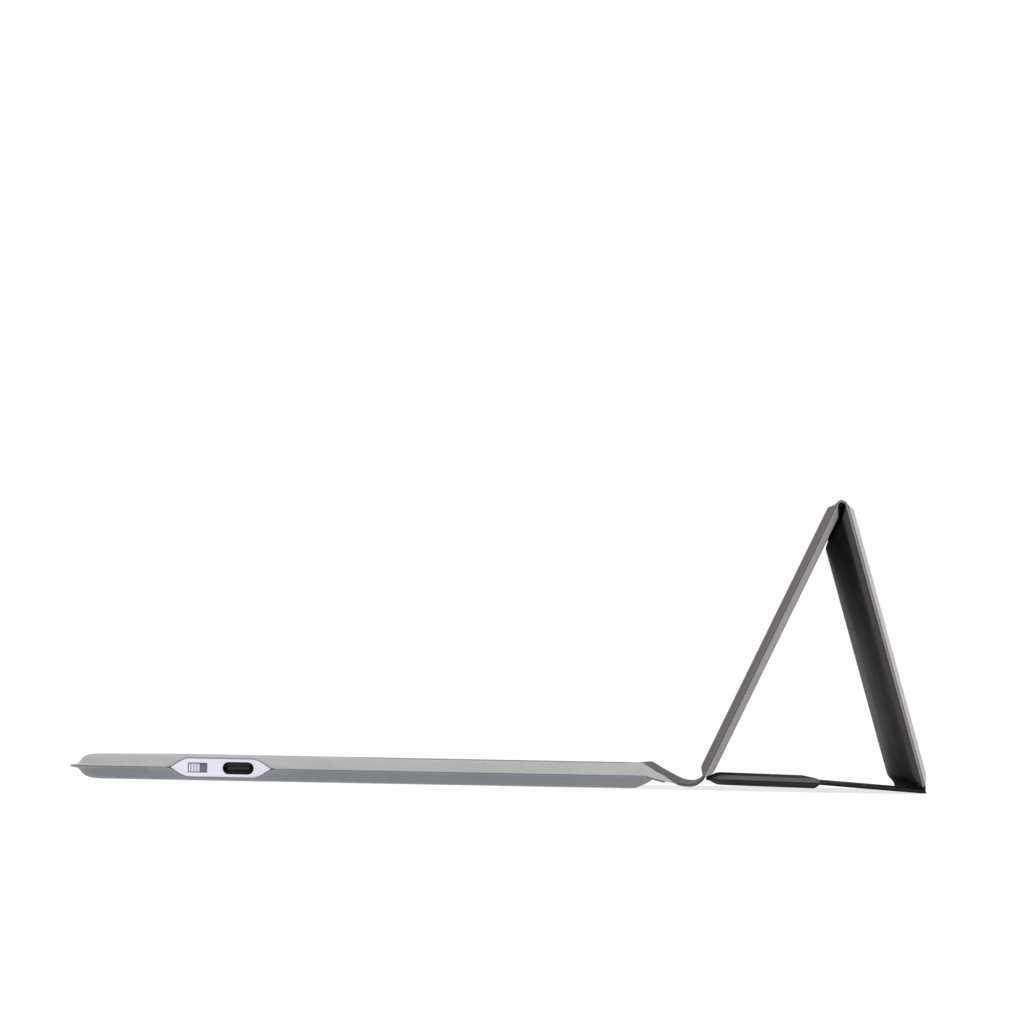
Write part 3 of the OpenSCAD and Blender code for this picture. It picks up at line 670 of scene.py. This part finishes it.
def panel_half(name, panel, side, bevels, node, materials, lip=0.5, seam=0.0):
    """One cover of a stiff panel: rim, bevel and flat outside, and a recess for its board inside.
    side is 1 for the face on the side of the panel's normal, and -1 for the other. bevels are the
    runs at the start, the end and the sides. materials are for the face, the bevels and the seam."""
    start, end = panel["span"]
    bevel_start, bevel_end, bevel_side = bevels
    board_start, board_end, board_half = panel["board"]
    along, out = direction(panel["angle"]), normal(panel["angle"])
    side_places = [start + (end - start) * k / 8 for k in range(2, 6)]

    def place(x, s, n):
        point = panel["origin"] + along * s + out * (side * n)
        return (x, point.x, point.y)

    board_x = HALF_W - BOARD_INSET + BOARD_GAP
    inner = rounded_outline(-board_x, board_x, board_start - BOARD_GAP, board_end + BOARD_GAP,
                            (0.05, 0.05), PANEL_STEPS, side_places)
    rings = [raised(inner, n) for n in (board_half + BOARD_GAP, seam + 0.02)]
    for share, n in panel_profile(panel["thick"], lip, seam):
        outer = rounded_outline(
            -HALF_W + share * bevel_side, HALF_W - share * bevel_side,
            start + share * bevel_start, end - share * bevel_end,
            tuple(max(0.6, r - 0.45 * share * bevel_side) for r in panel["radii"]), PANEL_STEPS,
            side_places)
        rings.append(raised(outer, n))
    flat_points, faces = loft(rings)
    count = len(rings[0])
    faces += fill(flat_points, [numbers(len(flat_points) - count, count)])
    faces += fill(flat_points, [numbers(0, count)], True)
    points = [place(*p) for p in flat_points]
    if side < 0:
        faces = [face[::-1] for face in faces]
    seam_faces = (SEAM_ROWS + 2) * count

    # Bevels take the second material. For the rear leg's inner cover and the flap's upper cover it is a
    # lighter copy of the face's colour, painted light; for the flap's under cover a darker one, painted
    # shade.
    def paint(polygon):
        if polygon.index < seam_faces:
            return 2
        return 1 if abs(polygon.normal.x) > BEVEL_TILT else 0

    made = piece(name, points, faces, materials, panel["body"], paint=paint)
    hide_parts(node)


def stand_panels():
    # board is where the stiffener starts and ends, and its half thickness.
    back = {"body": "back_panel", "origin": CREASE, "angle": BACK_LEAN, "span": BACK_SPAN,
            "thick": BACK_T, "radii": (0.8, 1), "board": (8.0, 82.9, 1.25)}
    leg = {"body": "rear_leg", "origin": LEG_ORIGIN, "angle": LEG_LEAN, "span": LEG_SPAN,
           "thick": LEG_T, "radii": (1, 3), "board": (9.0, 81.5, 1.1)}
    flap = {"body": "front_flap", "origin": FLAP_ORIGIN, "angle": FLAP_ANGLE, "span": (0, FLAP_LEN),
            "thick": FLAP_T, "radii": (1.5, 8), "board": (4.5, 28.1, 0.7)}
    panel_half("back_panel_rear_cover", back, -1, (3.2, 3.8, 4.5), "back_panel_skin",
               [LINING, LEATHER, SEAM_LINE])
    # The back panel's front cover wears the darker copy of the leatherette, as painted shade from the
    # tablet.
    panel_half("back_panel_front_cover", back, 1, (3.2, 2.3, 4.5), "back_panel_lining",
               [TABLET_SHADED_LEATHER, TABLET_SHADED_LEATHER, SEAM_LINE])
    panel_half("rear_leg_outer_cover", leg, 1, (1.8, 4.5, 4.5), "rear_leg_skin",
               [LEATHER, LEATHER, PALE_SEAM], LEG_SEAM + 0.5, LEG_SEAM)
    # The inner cover's bevels take the lighter copy of the lining, as painted light.
    panel_half("rear_leg_inner_cover", leg, -1, (3.4, 4.5, 4.5), "rear_leg_lining",
               [LINING, LINING_BEVEL_LIGHT, PALE_SEAM], 0.4, -LEG_SEAM)
    # The flap's under cover has its bevels and seam in the near-black painted shade.
    panel_half("front_flap_under_cover", flap, 1, (2.3, 3.9, 4.5), "front_flap_skin",
               [LINING, DEEP_SHADE, DEEP_SHADE], 0.3)
    # The flap's upper cover has its bevels in the lighter copy of the lining, as painted light.
    panel_half("front_flap_upper_cover", flap, -1, (1.6, 4.3, 4.5), "front_flap_lining",
               [LINING, FLAP_BEVEL_LIGHT, LINING], 0.3)


# ---------- the flexible sheets ----------


SHEET_EDGE = [(0.10, 0.0), (0.0, 0.15), (0.0, 0.85), (0.10, 1.0)]
SHEET_COLUMNS = 60


def pucker(x, k):
    """Uneven waves along a folded sheet, from -1 to 1. k is the number of the cross-section."""
    return (0.5 * math.sin(0.31 * x + 0.9 * k) + 0.3 * math.sin(0.87 * x - 1.7 * k)
            + 0.2 * math.sin(1.93 * x + 0.6 * k))


def station(middle, angle, half=SHEET_HALF):
    """One cross-section of a sheet that runs at angle: its under and upper points and edge scale."""
    return middle - normal(angle) * half, middle + normal(angle) * half, 1.0


def sheet_loft(name, stations, half_x, materials, paint=None, edge=None, waves=0.0):
    """A sheet through stations of (under point, upper point, edge scale). edge is the shape of its
    two sides, as (distance in, share of the height). waves is the height of its puckers."""
    rows = edge or SHEET_EDGE
    last = len(stations) - 1
    rings = []
    for k, (low, high, scale) in enumerate(stations):
        inner = half_x - rows[-1][0] * scale
        across = [inner * (1 - 2 * i / SHEET_COLUMNS) for i in range(1, SHEET_COLUMNS)]
        section = [(half_x - inset * scale, share) for inset, share in rows]
        section += [(x, 1.0) for x in across]
        section += [(-half_x + inset * scale, share) for inset, share in reversed(rows)]
        section += [(-x, 0.0) for x in across]
        out = (high - low).normalized()
        amount = waves * math.sin(math.pi * k / last)
        ring = []
        for x, share in section:
            point = low + (high - low) * share + out * (amount * pucker(x, k))
            ring.append((x, point.x, point.y))
        rings.append(ring)
    points, faces = capped_loft(rings)
    faces = [face[::-1] for face in faces]
    return piece(name, points, faces, materials, None, 40, paint)


def face_share(polygon, rows):
    """Where a face of a sheet_loft lies: 1 on the upper face, 0 on the lower, between at the sides."""
    last_row = len(rows) - 1
    far_side = last_row + SHEET_COLUMNS
    place = polygon.index % (2 * far_side)
    if place < last_row:
        return rows[place][1]
    if place < far_side:
        return 1.0
    if place < far_side + last_row:
        return rows[far_side + last_row - place][1]
    return 0.0


def declare_sheet(stations):
    """Works out the length of a fold's sheet round its folds, and does nothing more with it."""
    middles = [(low + high) / 2 for low, high, _ in stations]
    length = sum((b - a).length for a, b in zip(middles, middles[1:]))


# Middle line of the spine sheet: down from the base, along the table, and up to the crease.
DIP_START = SPINE_FOLD + Vector((7.9, -1.75))
SPINE_SLOPE = 18.8
DIP_R = 11.2
RISE_R = 5.2
RISE_END = 46
DIP_LOW = DIP_START + DIP_R * Vector((math.sin(math.radians(SPINE_SLOPE)),
                                     math.cos(math.radians(SPINE_SLOPE)) - 1))


def spine_station(angle):
    """The cross-section of the dip or of the rise beyond it, where the sheet runs at angle."""
    radius = DIP_R if angle < 0 else RISE_R
    turn = math.radians(angle)
    return station(DIP_LOW + radius * Vector((math.sin(turn), 1 - math.cos(turn))), angle)


# Where the painted shade on the spine's upper face starts, as (y, share of the sheet's height).
SHADE_START_LINE = [(80.8, 1.0), (84.0, 0.87), (89.4, 0.84), (93.8, 0.0)]


def shade_start_share(y):
    for (y0, share0), (y1, share1) in zip(SHADE_START_LINE, SHADE_START_LINE[1:]):
        if y0 <= y <= y1:
            return share0 + (share1 - share0) * (y - y0) / (y1 - y0)
    return 2.0 if y < SHADE_START_LINE[0][0] else 0.0


def rear_hinge():
    """The top skin runs down past the base's rear edge, its bevels fading into the thin sheet."""
    low_line = smooth_curve([
        (HINGE_START, SEAM_Z + 0.03), (81.6, SEAM_Z + 0.03), (83.2, SEAM_Z), (84.4, SEAM_Z - 0.22),
        (86.2, 3.02), (88.0, 2.58), (89.8, 2.15), (91.4, 1.77)], 4)
    high_line = smooth_curve([
        (HINGE_START, BASE_T), (81.2, BASE_T + 0.22), (82.4, BASE_T + 0.42), (83.6, BASE_T - 0.06),
        (86.0, 5.86), (88.0, 4.78), (89.9, 3.77), (91.6, 2.92)], 4)
    last = len(low_line) - 1
    stations = []
    for k, (low, high) in enumerate(zip(low_line, high_line)):
        stations.append((low, high, 1 - 0.9 * smoothstep(0.2, 1.0, k / last)))
    stations.append((*spine_station(-SPINE_SLOPE)[:2], 0.1))
    top = TOP_PROFILE[-1][2]
    rows = [(inset, (z - SEAM_Z - 0.03) / (top - SEAM_Z - 0.03)) for inset, _, z in TOP_PROFILE]

    # Faces past the line take the darker copy: painted shade where the skin runs down into the spine.
    def paint(polygon):
        return 1 if face_share(polygon, rows) > shade_start_share(polygon.center.y / MM) else 0

    made = sheet_loft("rear_hinge_sheet", stations, HALF_W, [LEATHER, SPINE_SHADE], paint, rows)
    declare_sheet(stations)
    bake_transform(made)
    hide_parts("spine_skin", "spine_lining")


def lip_tab():
    """The bottom skin's rear lip, glued under the sheet."""
    low = smooth_curve([(84.0, 2.95), (85.4, 2.72), (87.0, 2.28), (88.7, 1.86), (89.2, 1.92)], 3)
    high = smooth_curve([(84.0, 3.4), (85.4, 3.2), (87.0, 2.80), (88.7, 2.38), (89.2, 2.24)], 3)
    stations = [(a, b, 1.0) for a, b in zip(low, high)]
    made = sheet_loft("bottom_lip", stations, HALF_W - 0.4, [UNDERSIDE_SHADED_LEATHER])
    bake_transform(made)


def crease_sheet():
    """From the bottom of the spine's dip, up through the crease and into the back panel's edge."""
    turns = [-SPINE_SLOPE, -15, -12, -9, -6, -3, 0, 6, 12, 18, 24, 30, 36, 41, RISE_END]
    stations = [spine_station(turn) for turn in turns]
    for s, half in ((0.15, 0.45), (0.9, 0.45), (1.7, 0.42), (2.4, 0.4)):
        stations.append(station(CREASE + direction(BACK_LEAN) * s, BACK_LEAN, half))
    # The whole sheet takes the spine's painted shade colour.
    made = sheet_loft("crease_sheet", stations, HALF_W - 0.02, [SPINE_SHADE])
    declare_sheet(stations)
    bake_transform(made)


def top_fold_sheet():
    """The soft skin that arches over the joint between the back panel and the rear leg."""
    half = 0.4
    back_points = [CREASE + direction(BACK_LEAN) * s for s in (86.4, 88.2, 89.9)]
    leg_points = [LEG_ORIGIN + direction(LEG_LEAN) * s for s in (2.2, 3.9, 5.6)]
    rise = TOP_FOLD + Vector((-0.95, -0.28))
    drop = TOP_FOLD + Vector((0.92, -0.38))
    middle = smooth_curve(back_points + [rise, TOP_FOLD, drop] + leg_points, 4)
    stations = []
    for k, point in enumerate(middle):
        before, after = middle[max(0, k - 1)], middle[min(len(middle) - 1, k + 1)]
        along = (after - before).normalized()
        out = Vector((-along.y, along.x))
        stations.append((point - out * half, point + out * half, 1.0))

    # Painted shade: the arch's underside, inside the stand, takes the near-black shade colour, and its
    # upper side the arch's darker copy of the leatherette.
    def paint(polygon):
        return 1 if face_share(polygon, SHEET_EDGE) == 0 else 0

    made = sheet_loft("top_fold_sheet", stations, HALF_W - SHEET_INSET, [ARCH_SHADE, DEEP_SHADE], paint,
                      waves=0.10)
    declare_sheet(stations)
    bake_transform(made)


def strip_shade_below(polygon):
    """Painted shade: the strip's cut edges and underside take the near-black shade colour, and its upper
    face keeps the lining.
    """
    return 1 if polygon.normal.z < 0.5 else 0


def foot_sheet():
    """From the rear leg's edge round the foot fold to the first half of the strip."""
    to_leg, to_strip = -direction(LEG_LEAN), direction(STRIP_ANGLE)
    inward = (to_leg + to_strip).normalized()
    stations = [station(LEG_ORIGIN - to_leg * s, LEG_LEAN) for s in (86.0, 87.2, 88.3)]
    stations.append((FOOT_FOLD + inward * 0.74, FOOT_FOLD - inward * 0.6, 1.0))
    stations += [station(FOOT_FOLD + to_strip * d, STRIP_ANGLE)
                 for d in (0.95, 1.6, 3.0, 5.0, 7.0, 9.0)]
    made = sheet_loft("foot_sheet", stations, HALF_W - SHEET_INSET, [LINING, DEEP_SHADE], strip_shade_below)
    declare_sheet(stations)
    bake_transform(made)
    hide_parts("foot_strip_skin", "foot_strip_lining")


def wrap_sheet():
    """The second half of the strip, past the wrap fold and into the flap's edge."""
    along = direction(STRIP_ANGLE)
    strip_len = (WRAP_FOLD - FOOT_FOLD).length
    fold_places = [strip_len + 0.35 * k for k in range(-4, 5)]
    stations = [station(FOOT_FOLD + along * d, STRIP_ANGLE)
                for d in [9.0, 12.0, 15.0] + fold_places + [21.5, 25.0, 28.5, 32.0]]
    made = sheet_loft("wrap_sheet", stations, HALF_W - SHEET_INSET, [LINING, DEEP_SHADE], strip_shade_below)
    declare_sheet(stations)
    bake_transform(made)


# ---------- side ports ----------


def stadium_loop(width, height, steps=10):
    """A stadium outline about the origin, anticlockwise."""
    r = height / 2
    half = width / 2 - r
    right = [(half + r * math.cos(t), r * math.sin(t))
             for t in (math.pi * (k / steps - 0.5) for k in range(steps + 1))]
    return right + [(-x, -y) for x, y in right]


def rounded_loop(width, height, radius, steps=4):
    return rounded_outline(-width / 2, width / 2, -height / 2, height / 2, (radius, radius), steps)


def eye_loop(shrink=0.0, steps=10):
    """The bezel's outline about its own middle, anticlockwise."""
    tip, top = BEZEL_TIP - shrink * 2.0, BEZEL_TOP - shrink
    shoulder = [(BEZEL_FLAT + (tip - BEZEL_FLAT) * i / steps, top * eyelid(i / steps))
                for i in range(steps + 1)]
    right = shoulder + [(x, -z) for x, z in reversed(shoulder[:-1])]
    left = [(-x, z) for x, z in reversed(right)]
    return (right + left)[::-1]


def facing_rings(sections):
    """Rings that face +X, from (x, outline), where an outline is a list of (y, z)."""
    return [[(x, y, z) for y, z in outline] for x, outline in sections]


def ported_plate(name, sections, openings, material):
    """A plate that faces +X, with openings through it. sections and each opening are lists of
    (x, outline) from the back to the front."""
    points, faces = loft(facing_rings(sections))
    count = len(sections[0][1])
    back, front = [numbers(0, count)], [numbers(len(points) - count, count)]
    for opening in openings:
        first, last = add_hole(points, faces, facing_rings(opening), True)
        back.append(first)
        front.append(last)
    turned = [(y, z, x) for x, y, z in points]
    faces += fill(turned, back, True)
    faces += fill(turned, front)
    made = piece(name, points, faces, [material], "base", 30)
    return made


def at(middle_y, outline):
    return [(middle_y + y, BEZEL_Z + z) for y, z in outline]


SWITCH_Y = middle_y("switch_body")
KNOB_LOW, KNOB_HIGH = box_mm("switch_knob")
KNOB_Y = middle_y("switch_knob")
WINDOW = (5.8, 2.9)
WINDOW_R = 0.35
MOUTH = (9.3, 3.6)
KNOB = (3.4, 2.6)
STEM = (0.8, 1.1)
STEM_Y = KNOB_Y - 1.0
SWITCH_TRAVEL = JOINTS["power_switch_slide"]["range_m"][1] / MM
RECESS_FRONT = FACE_X - 1.4
RECESS_T = 0.5


def port_bezel():
    usb_y = middle_y("usb_socket_shell")
    back_x = BEZEL_LOW.x
    sections = [(back_x, at(BEZEL_Y, eye_loop()))]
    for inset, drop in ((0.0, 0.34), (0.03, 0.2), (0.1, 0.1), (0.2, 0.03), (0.34, 0.0)):
        sections.append((FACE_X - drop, at(BEZEL_Y, eye_loop(inset))))
    window = [(back_x, at(SWITCH_Y, rounded_loop(*WINDOW, WINDOW_R)))]
    mouth = [(back_x, at(usb_y, stadium_loop(*MOUTH)))]
    for grow, drop in ((0.0, 0.18), (0.06, 0.05), (0.16, 0.0)):
        x = FACE_X - drop
        window_size = [size + 2 * grow for size in WINDOW]
        mouth_size = [size + 2 * grow for size in MOUTH]
        window.append((x, at(SWITCH_Y, rounded_loop(*window_size, WINDOW_R + grow))))
        mouth.append((x, at(usb_y, stadium_loop(*mouth_size))))
    made = ported_plate("side_port_bezel", sections, [window, mouth], BEZEL)
    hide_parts("port_bezel")


def switch_recess():
    """The floor behind the knob, with a slot for its stem."""
    gap = 0.04
    slot_len = STEM[0] + SWITCH_TRAVEL + 0.2
    slot_y = STEM_Y + SWITCH_TRAVEL / 2
    xs = (RECESS_FRONT - RECESS_T, RECESS_FRONT)
    floor = [(x, at(SWITCH_Y, rounded_loop(WINDOW[0] - gap, WINDOW[1] - gap, 0.33))) for x in xs]
    opening = [(x, at(slot_y, rounded_loop(slot_len, STEM[1] + 0.2, 0.2))) for x in xs]
    ported_plate("switch_recess", floor, [opening], RECESS)


def switch_knob():
    """A ribbed slide knob. Its stem reaches into the switch through a slot the knob hides at rest."""
    width, height = KNOB
    ribs, rib_pitch, rib_width = 4, 0.86, 0.46
    front, tip = KNOB_HIGH.x - 0.6, KNOB_HIGH.x
    # (x, distance in from the outline), from the back to the front
    plate = [(RECESS_FRONT + 0.05, 0.0), (front - 0.12, 0.0), (front - 0.03, 0.03), (front, 0.12)]
    rib = [(front - 0.05, 0.0), (tip - 0.1, 0.03), (tip - 0.02, 0.1), (tip, 0.18)]

    def solid(middle_y, sections):
        return capped_loft(facing_rings([(x, at(middle_y, outline)) for x, outline in sections]))

    parts = [
        solid(KNOB_Y, [(x, rounded_loop(width - 2 * inset, height - 2 * inset, 0.25))
                       for x, inset in plate]),
        solid(STEM_Y, [(x, rounded_loop(*STEM, 0.1)) for x in (KNOB_LOW.x, RECESS_FRONT + 0.1)]),
    ]
    for k in range(ribs):
        parts.append(solid(KNOB_Y + (k - (ribs - 1) / 2) * rib_pitch, [
            (x, rounded_loop(rib_width - 1.2 * inset, height - 0.3 - 2 * inset, 0.12))
            for x, inset in rib]))
    points, faces = joined(parts)
    made = piece("slide_knob", points, faces, [KNOB_PLASTIC], "power_switch", 30)
    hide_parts("switch_knob")


# ---------- keys and touchpad ----------

KEY_R = 1.5
KEY_DISH = 0.22
CAP_WALL = 0.8
CAP_ROOF = 0.6
INK_LIFT = 0.015
INK_DEPTH = 0.04
# A cap's edge from its foot to its top: (distance in, distance down from the top, None at the foot).
KEY_EDGE = [(0.34, None), (0.12, 0.95), (0.03, 0.62), (0.0, 0.45), (0.03, 0.26), (0.11, 0.12),
            (0.24, 0.04), (0.42, 0.0)]
KEY_RIM = KEY_EDGE[-1][0]


def loose_parts(node):
    """The separate solids in a CAD node, from left to right, as (low corner, high corner, faces).
    Each face is a list of points in millimetres."""
    mesh = frame["nodes"][node].data
    place = [tuple(round(c, 6) for c in vertex.co) for vertex in mesh.vertices]
    group = {}

    def root(p):
        while group.setdefault(p, p) != p:
            group[p] = group[group[p]]
            p = group[p]
        return p

    for polygon in mesh.polygons:
        first = root(place[polygon.vertices[0]])
        for i in polygon.vertices[1:]:
            group[root(place[i])] = first
    parts = {}
    for polygon in mesh.polygons:
        corners = [Vector(place[i]) / MM for i in polygon.vertices]
        parts.setdefault(root(place[polygon.vertices[0]]), []).append(corners)
    found = []
    for faces in parts.values():
        points = [p for face in faces for p in face]
        low = Vector([min(p[k] for p in points) for k in range(3)])
        high = Vector([max(p[k] for p in points) for k in range(3)])
        found.append((low, high, faces))
    return sorted(found, key=lambda part: (round(part[0].x, 2), part[0].y))


def welded(loose_faces):
    """Points and numbered faces, from faces that are lists of points."""
    known, points, faces = {}, [], []
    for face in loose_faces:
        marks = [tuple(round(c, 4) for c in p) for p in face]
        for mark, p in zip(marks, face):
            if mark not in known:
                known[mark] = len(points)
                points.append(tuple(p))
        faces.append(tuple(known[mark] for mark in marks))
    return points, faces


def spring_parts(node, short_name, material):
    """Shares out the domes or links in a node among the keys above them, one piece for each key."""
    floor_z = 4.35
    travel = 1.0
    keep = 1 - travel / (box_mm(node)[1].z - floor_z)
    parts = loose_parts(node)
    first = True
    for key in KEY_NODES:
        caps = loose_parts(key)
        own = []
        for low, high, part_faces in parts:
            middle = (low + high) / 2
            if any(a.x < middle.x < b.x and a.y < middle.y < b.y for a, b, _ in caps):
                own += part_faces
        if not own:
            continue
        made = piece(f"{key}_{short_name}", *welded(own), [material], "base", 35)
        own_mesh(made)
        if first:
            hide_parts(node)
            first = False


def dish_reach(low, high):
    """How far in from its edges a key's dish reaches its full depth."""
    return 0.46 * min(high.x - low.x, high.y - low.y)


def dish_height(inset, reach, top):
    """The height of a dished key top at a distance in from its edge."""
    return top - KEY_DISH * smoothstep(KEY_RIM, reach, inset)


def cap(low, high, radius, key=True):
    """Points and faces of one rounded cap in the box low to high. A key is dished and hollow."""
    top, tall = high.z, high.z - low.z
    levels = [(inset, low.z if drop is None else top - min(drop, 0.8 * tall))
              for inset, drop in KEY_EDGE]
    if key:
        levels = [(CAP_WALL, top - CAP_ROOF), (CAP_WALL, low.z)] + levels
        reach = dish_reach(low, high)
        for k in range(1, 6):
            inset = KEY_RIM + (reach - KEY_RIM) * k / 5
            levels.append((inset, dish_height(inset, reach, top)))
    rings = []
    for inset, z in levels:
        corner = max(0.15, radius - 0.8 * inset)
        outline = rounded_outline(low.x + inset, high.x - inset, low.y + inset, high.y - inset,
                                  (corner, corner), 4)
        rings.append(raised(outline, z))
    return capped_loft(rings)


def glyph(text, size):
    """Points and faces of a printed sign, centred on the origin."""
    curve = bpy.data.curves.new("sign", "FONT")
    curve.body = text
    curve.size = size
    holder = bpy.data.objects.new("sign", curve)
    mesh = holder.to_mesh()
    points = [(v.co.x, v.co.y) for v in mesh.vertices]
    faces = [tuple(p.vertices) for p in mesh.polygons]
    holder.to_mesh_clear()
    bpy.data.objects.remove(holder)
    bpy.data.curves.remove(curve)
    mid_x = (min(x for x, _ in points) + max(x for x, _ in points)) / 2
    mid_y = (min(y for _, y in points) + max(y for _, y in points)) / 2
    return [(x - mid_x, y - mid_y) for x, y in points], faces


def arrow(angle, size):
    turn = math.radians(angle)
    shape = [(0.55, 0.0), (-0.35, 0.5), (-0.35, -0.5)]
    points = [(size * (x * math.cos(turn) - y * math.sin(turn)),
               size * (x * math.sin(turn) + y * math.cos(turn))) for x, y in shape]
    return points, [(0, 1, 2)]


def thin_solid(points, faces, depth):
    """Gives an upward-facing flat shape a thickness, with its underside depth lower."""
    count = len(points)
    low_points = [(x, y, z - depth) for x, y, z in points]
    edges = {(a, b) for face in faces for a, b in zip(face, face[1:] + face[:1])}
    sides = [(b, a, a + count, b + count) for a, b in sorted(edges) if (b, a) not in edges]
    under = [tuple(i + count for i in reversed(face)) for face in faces]
    return points + low_points, faces + under + sides


SIGNS = {
    "number_keys": "`1234567890-=", "upper_letter_keys": "QWERTYUIOP[]/",
    "home_letter_keys": "ASDFGHJKL;'", "lower_letter_keys": "ZXCVBNM,./",
}
ARROWS = {"left_arrow_key": 180, "right_arrow_key": 0, "up_arrow_key": 90, "down_arrow_key": -90}


def key_sign(node, number):
    """The flat sign of one key in a node, centred on the origin, or None for a blank key."""
    if node in SIGNS:
        return glyph(SIGNS[node][number], 5.2)
    if node in ARROWS:
        return arrow(ARROWS[node], 2.6)
    if node == "function_keys":
        return glyph(str(number + 1), 3.0)
    return None


def printed(sign, low, high):
    """A sign laid on the dished top of the cap in the box low to high."""
    flat, faces = sign
    middle = (low + high) / 2
    placed = []
    for x, y in flat:
        inset = min(high.x - low.x - 2 * abs(x), high.y - low.y - 2 * abs(y)) / 2
        z = dish_height(inset, dish_reach(low, high), high.z) + INK_LIFT
        placed.append((middle.x + x, middle.y + y, z))
    return thin_solid(placed, faces, INK_DEPTH)


def key_caps():
    for node in KEY_NODES:
        boxes = [(low, high) for low, high, _ in loose_parts(node)]
        points, faces = joined([cap(low, high, KEY_R) for low, high in boxes])
        name = node[:-1] if node.endswith("s") else node
        made = piece(name + "_caps", points, faces, [KEY], node + "_body", 40)
        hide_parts(node)
        signs = []
        for k, (low, high) in enumerate(boxes):
            sign = key_sign(node, k)
            if sign:
                signs.append(printed(sign, low, high))
        if signs:
            points, faces = joined(signs)
            ink = piece(name + "_signs", points, faces, [LEGEND], node + "_body")


def touchpad_cover():
    low, high = box_mm("touchpad_plate")
    points, faces = cap(low, high, TOUCHPAD_R, False)
    made = piece("touchpad_cover", points, faces, [PAD], "touchpad", 40)
    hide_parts("touchpad_plate")


# ---------- camera, light and floor ----------


# Metres and degrees. The camera looks from the typist's right, close to table height.
CAMERA_PLACE = (1.7, 0.1035, 0.0104)
CAMERA_AIM = (0.125, 0.0426, 0.08125)
CAMERA_ROLL = 1.065
CAMERA_LENS = 186.9
FLOOR_REACH = 12
FLOOR_Z = -0.0002


def place_camera():
    data = bpy.data.cameras.new("camera")
    data.lens = CAMERA_LENS
    data.sensor_width = 36
    data.clip_start = 0.05
    data.clip_end = 50
    camera = bpy.data.objects.new("camera", data)
    bpy.context.scene.collection.objects.link(camera)
    camera.location = CAMERA_PLACE
    level = (Vector(CAMERA_AIM) - camera.location).to_track_quat("-Z", "Y")
    roll = Quaternion(Vector((0, 0, 1)), math.radians(CAMERA_ROLL))
    camera.rotation_mode = "QUATERNION"
    camera.rotation_quaternion = level @ roll
    bpy.context.scene.camera = camera


def area_light(name, place, aim, size, power):
    data = bpy.data.lights.new(name, "AREA")
    data.shape = "RECTANGLE"
    data.size, data.size_y = size
    data.energy = power
    light = bpy.data.objects.new(name, data)
    bpy.context.scene.collection.objects.link(light)
    light.location = place
    light.rotation_mode = "QUATERNION"
    light.rotation_quaternion = (Vector(aim) - Vector(place)).to_track_quat("-Z", "Y")


def studio():
    mesh = bpy.data.meshes.new("floor")
    corners = [(FLOOR_REACH * x, FLOOR_REACH * y, FLOOR_Z) for x, y in ((-1, -1), (1, -1), (1, 1), (-1, 1))]
    mesh.from_pydata(corners, [], [(0, 1, 2, 3)])
    floor = bpy.data.objects.new("floor", mesh)
    bpy.context.scene.collection.objects.link(floor)
    material, tree, shader = new_material("floor")
    vary_colour(tree, shader, noise(tree, 3, 2.0), [(0.3, (0.27,) * 3), (0.7, (0.29,) * 3)])
    shader.inputs["Emission Color"].default_value = (1, 1, 1, 1)
    shader.inputs["Emission Strength"].default_value = 0.78
    shader.inputs["Roughness"].default_value = 0.85
    shader.inputs["Specular IOR Level"].default_value = 0.1
    mesh.materials.append(material)
    world = bpy.data.worlds.new("world")
    world.use_nodes = True
    background = world.node_tree.nodes["Background"]
    background.inputs["Color"].default_value = (1, 1, 1, 1)
    background.inputs["Strength"].default_value = 1.0
    bpy.context.scene.world = world
    area_light("key", (1.6, -0.5, 1.3), (0, 0, 0.02), (1.2, 1.2), 7)
    area_light("rear", (0.9, 1.4, 0.9), (0, 0.1, 0.04), (1.0, 1.0), 9)
    scene = bpy.context.scene
    scene.view_settings.view_transform = "Standard"
    scene.view_settings.look = "None"


NODE_MATERIALS = {
    "key_frame": DECK, "base_tray": TRAY, "backing_plate": STEEL, "key_membrane": FILM,
    "rubber_domes": RUBBER, "key_scissors": LINK, "stabiliser_bars": DARK_STEEL,
    "main_board": COPPER_BOARD, "battery": FOIL, "closure_magnets": NICKEL,
    "case_screws": DARK_STEEL, "status_lights": LIGHT_PIPE, "usb_socket_shell": SOCKET_SHADE,
    "usb_socket_tongue": BEAD, "switch_body": DARK_STEEL, "touchpad_board": COPPER_BOARD,
    "touchpad_bracket": STEEL, "touchpad_click_dome": DARK_STEEL, "back_panel_board": BOARD,
    "tablet_magnets": NICKEL, "flap_keeper": DARK_STEEL, "rear_leg_board": BOARD,
    "front_flap_board": BOARD, "flap_magnets": NICKEL, "touchpad_plate": PAD,
}
KEY_NODES = [n for n in frame["nodes"] if n.endswith(("_keys", "_key")) or n == "space_bar"]
for node, material in NODE_MATERIALS.items():
    paint_node(node, material)
for node in KEY_NODES:
    paint_node(node, KEY)

place_camera()
studio()
top_cover()
bottom_cover()
stand_panels()
rear_hinge()
lip_tab()
crease_sheet()
top_fold_sheet()
foot_sheet()
wrap_sheet()
port_bezel()
switch_recess()
switch_knob()
key_caps()
spring_parts("rubber_domes", "domes", RUBBER)
spring_parts("key_scissors", "links", LINK)
touchpad_cover()
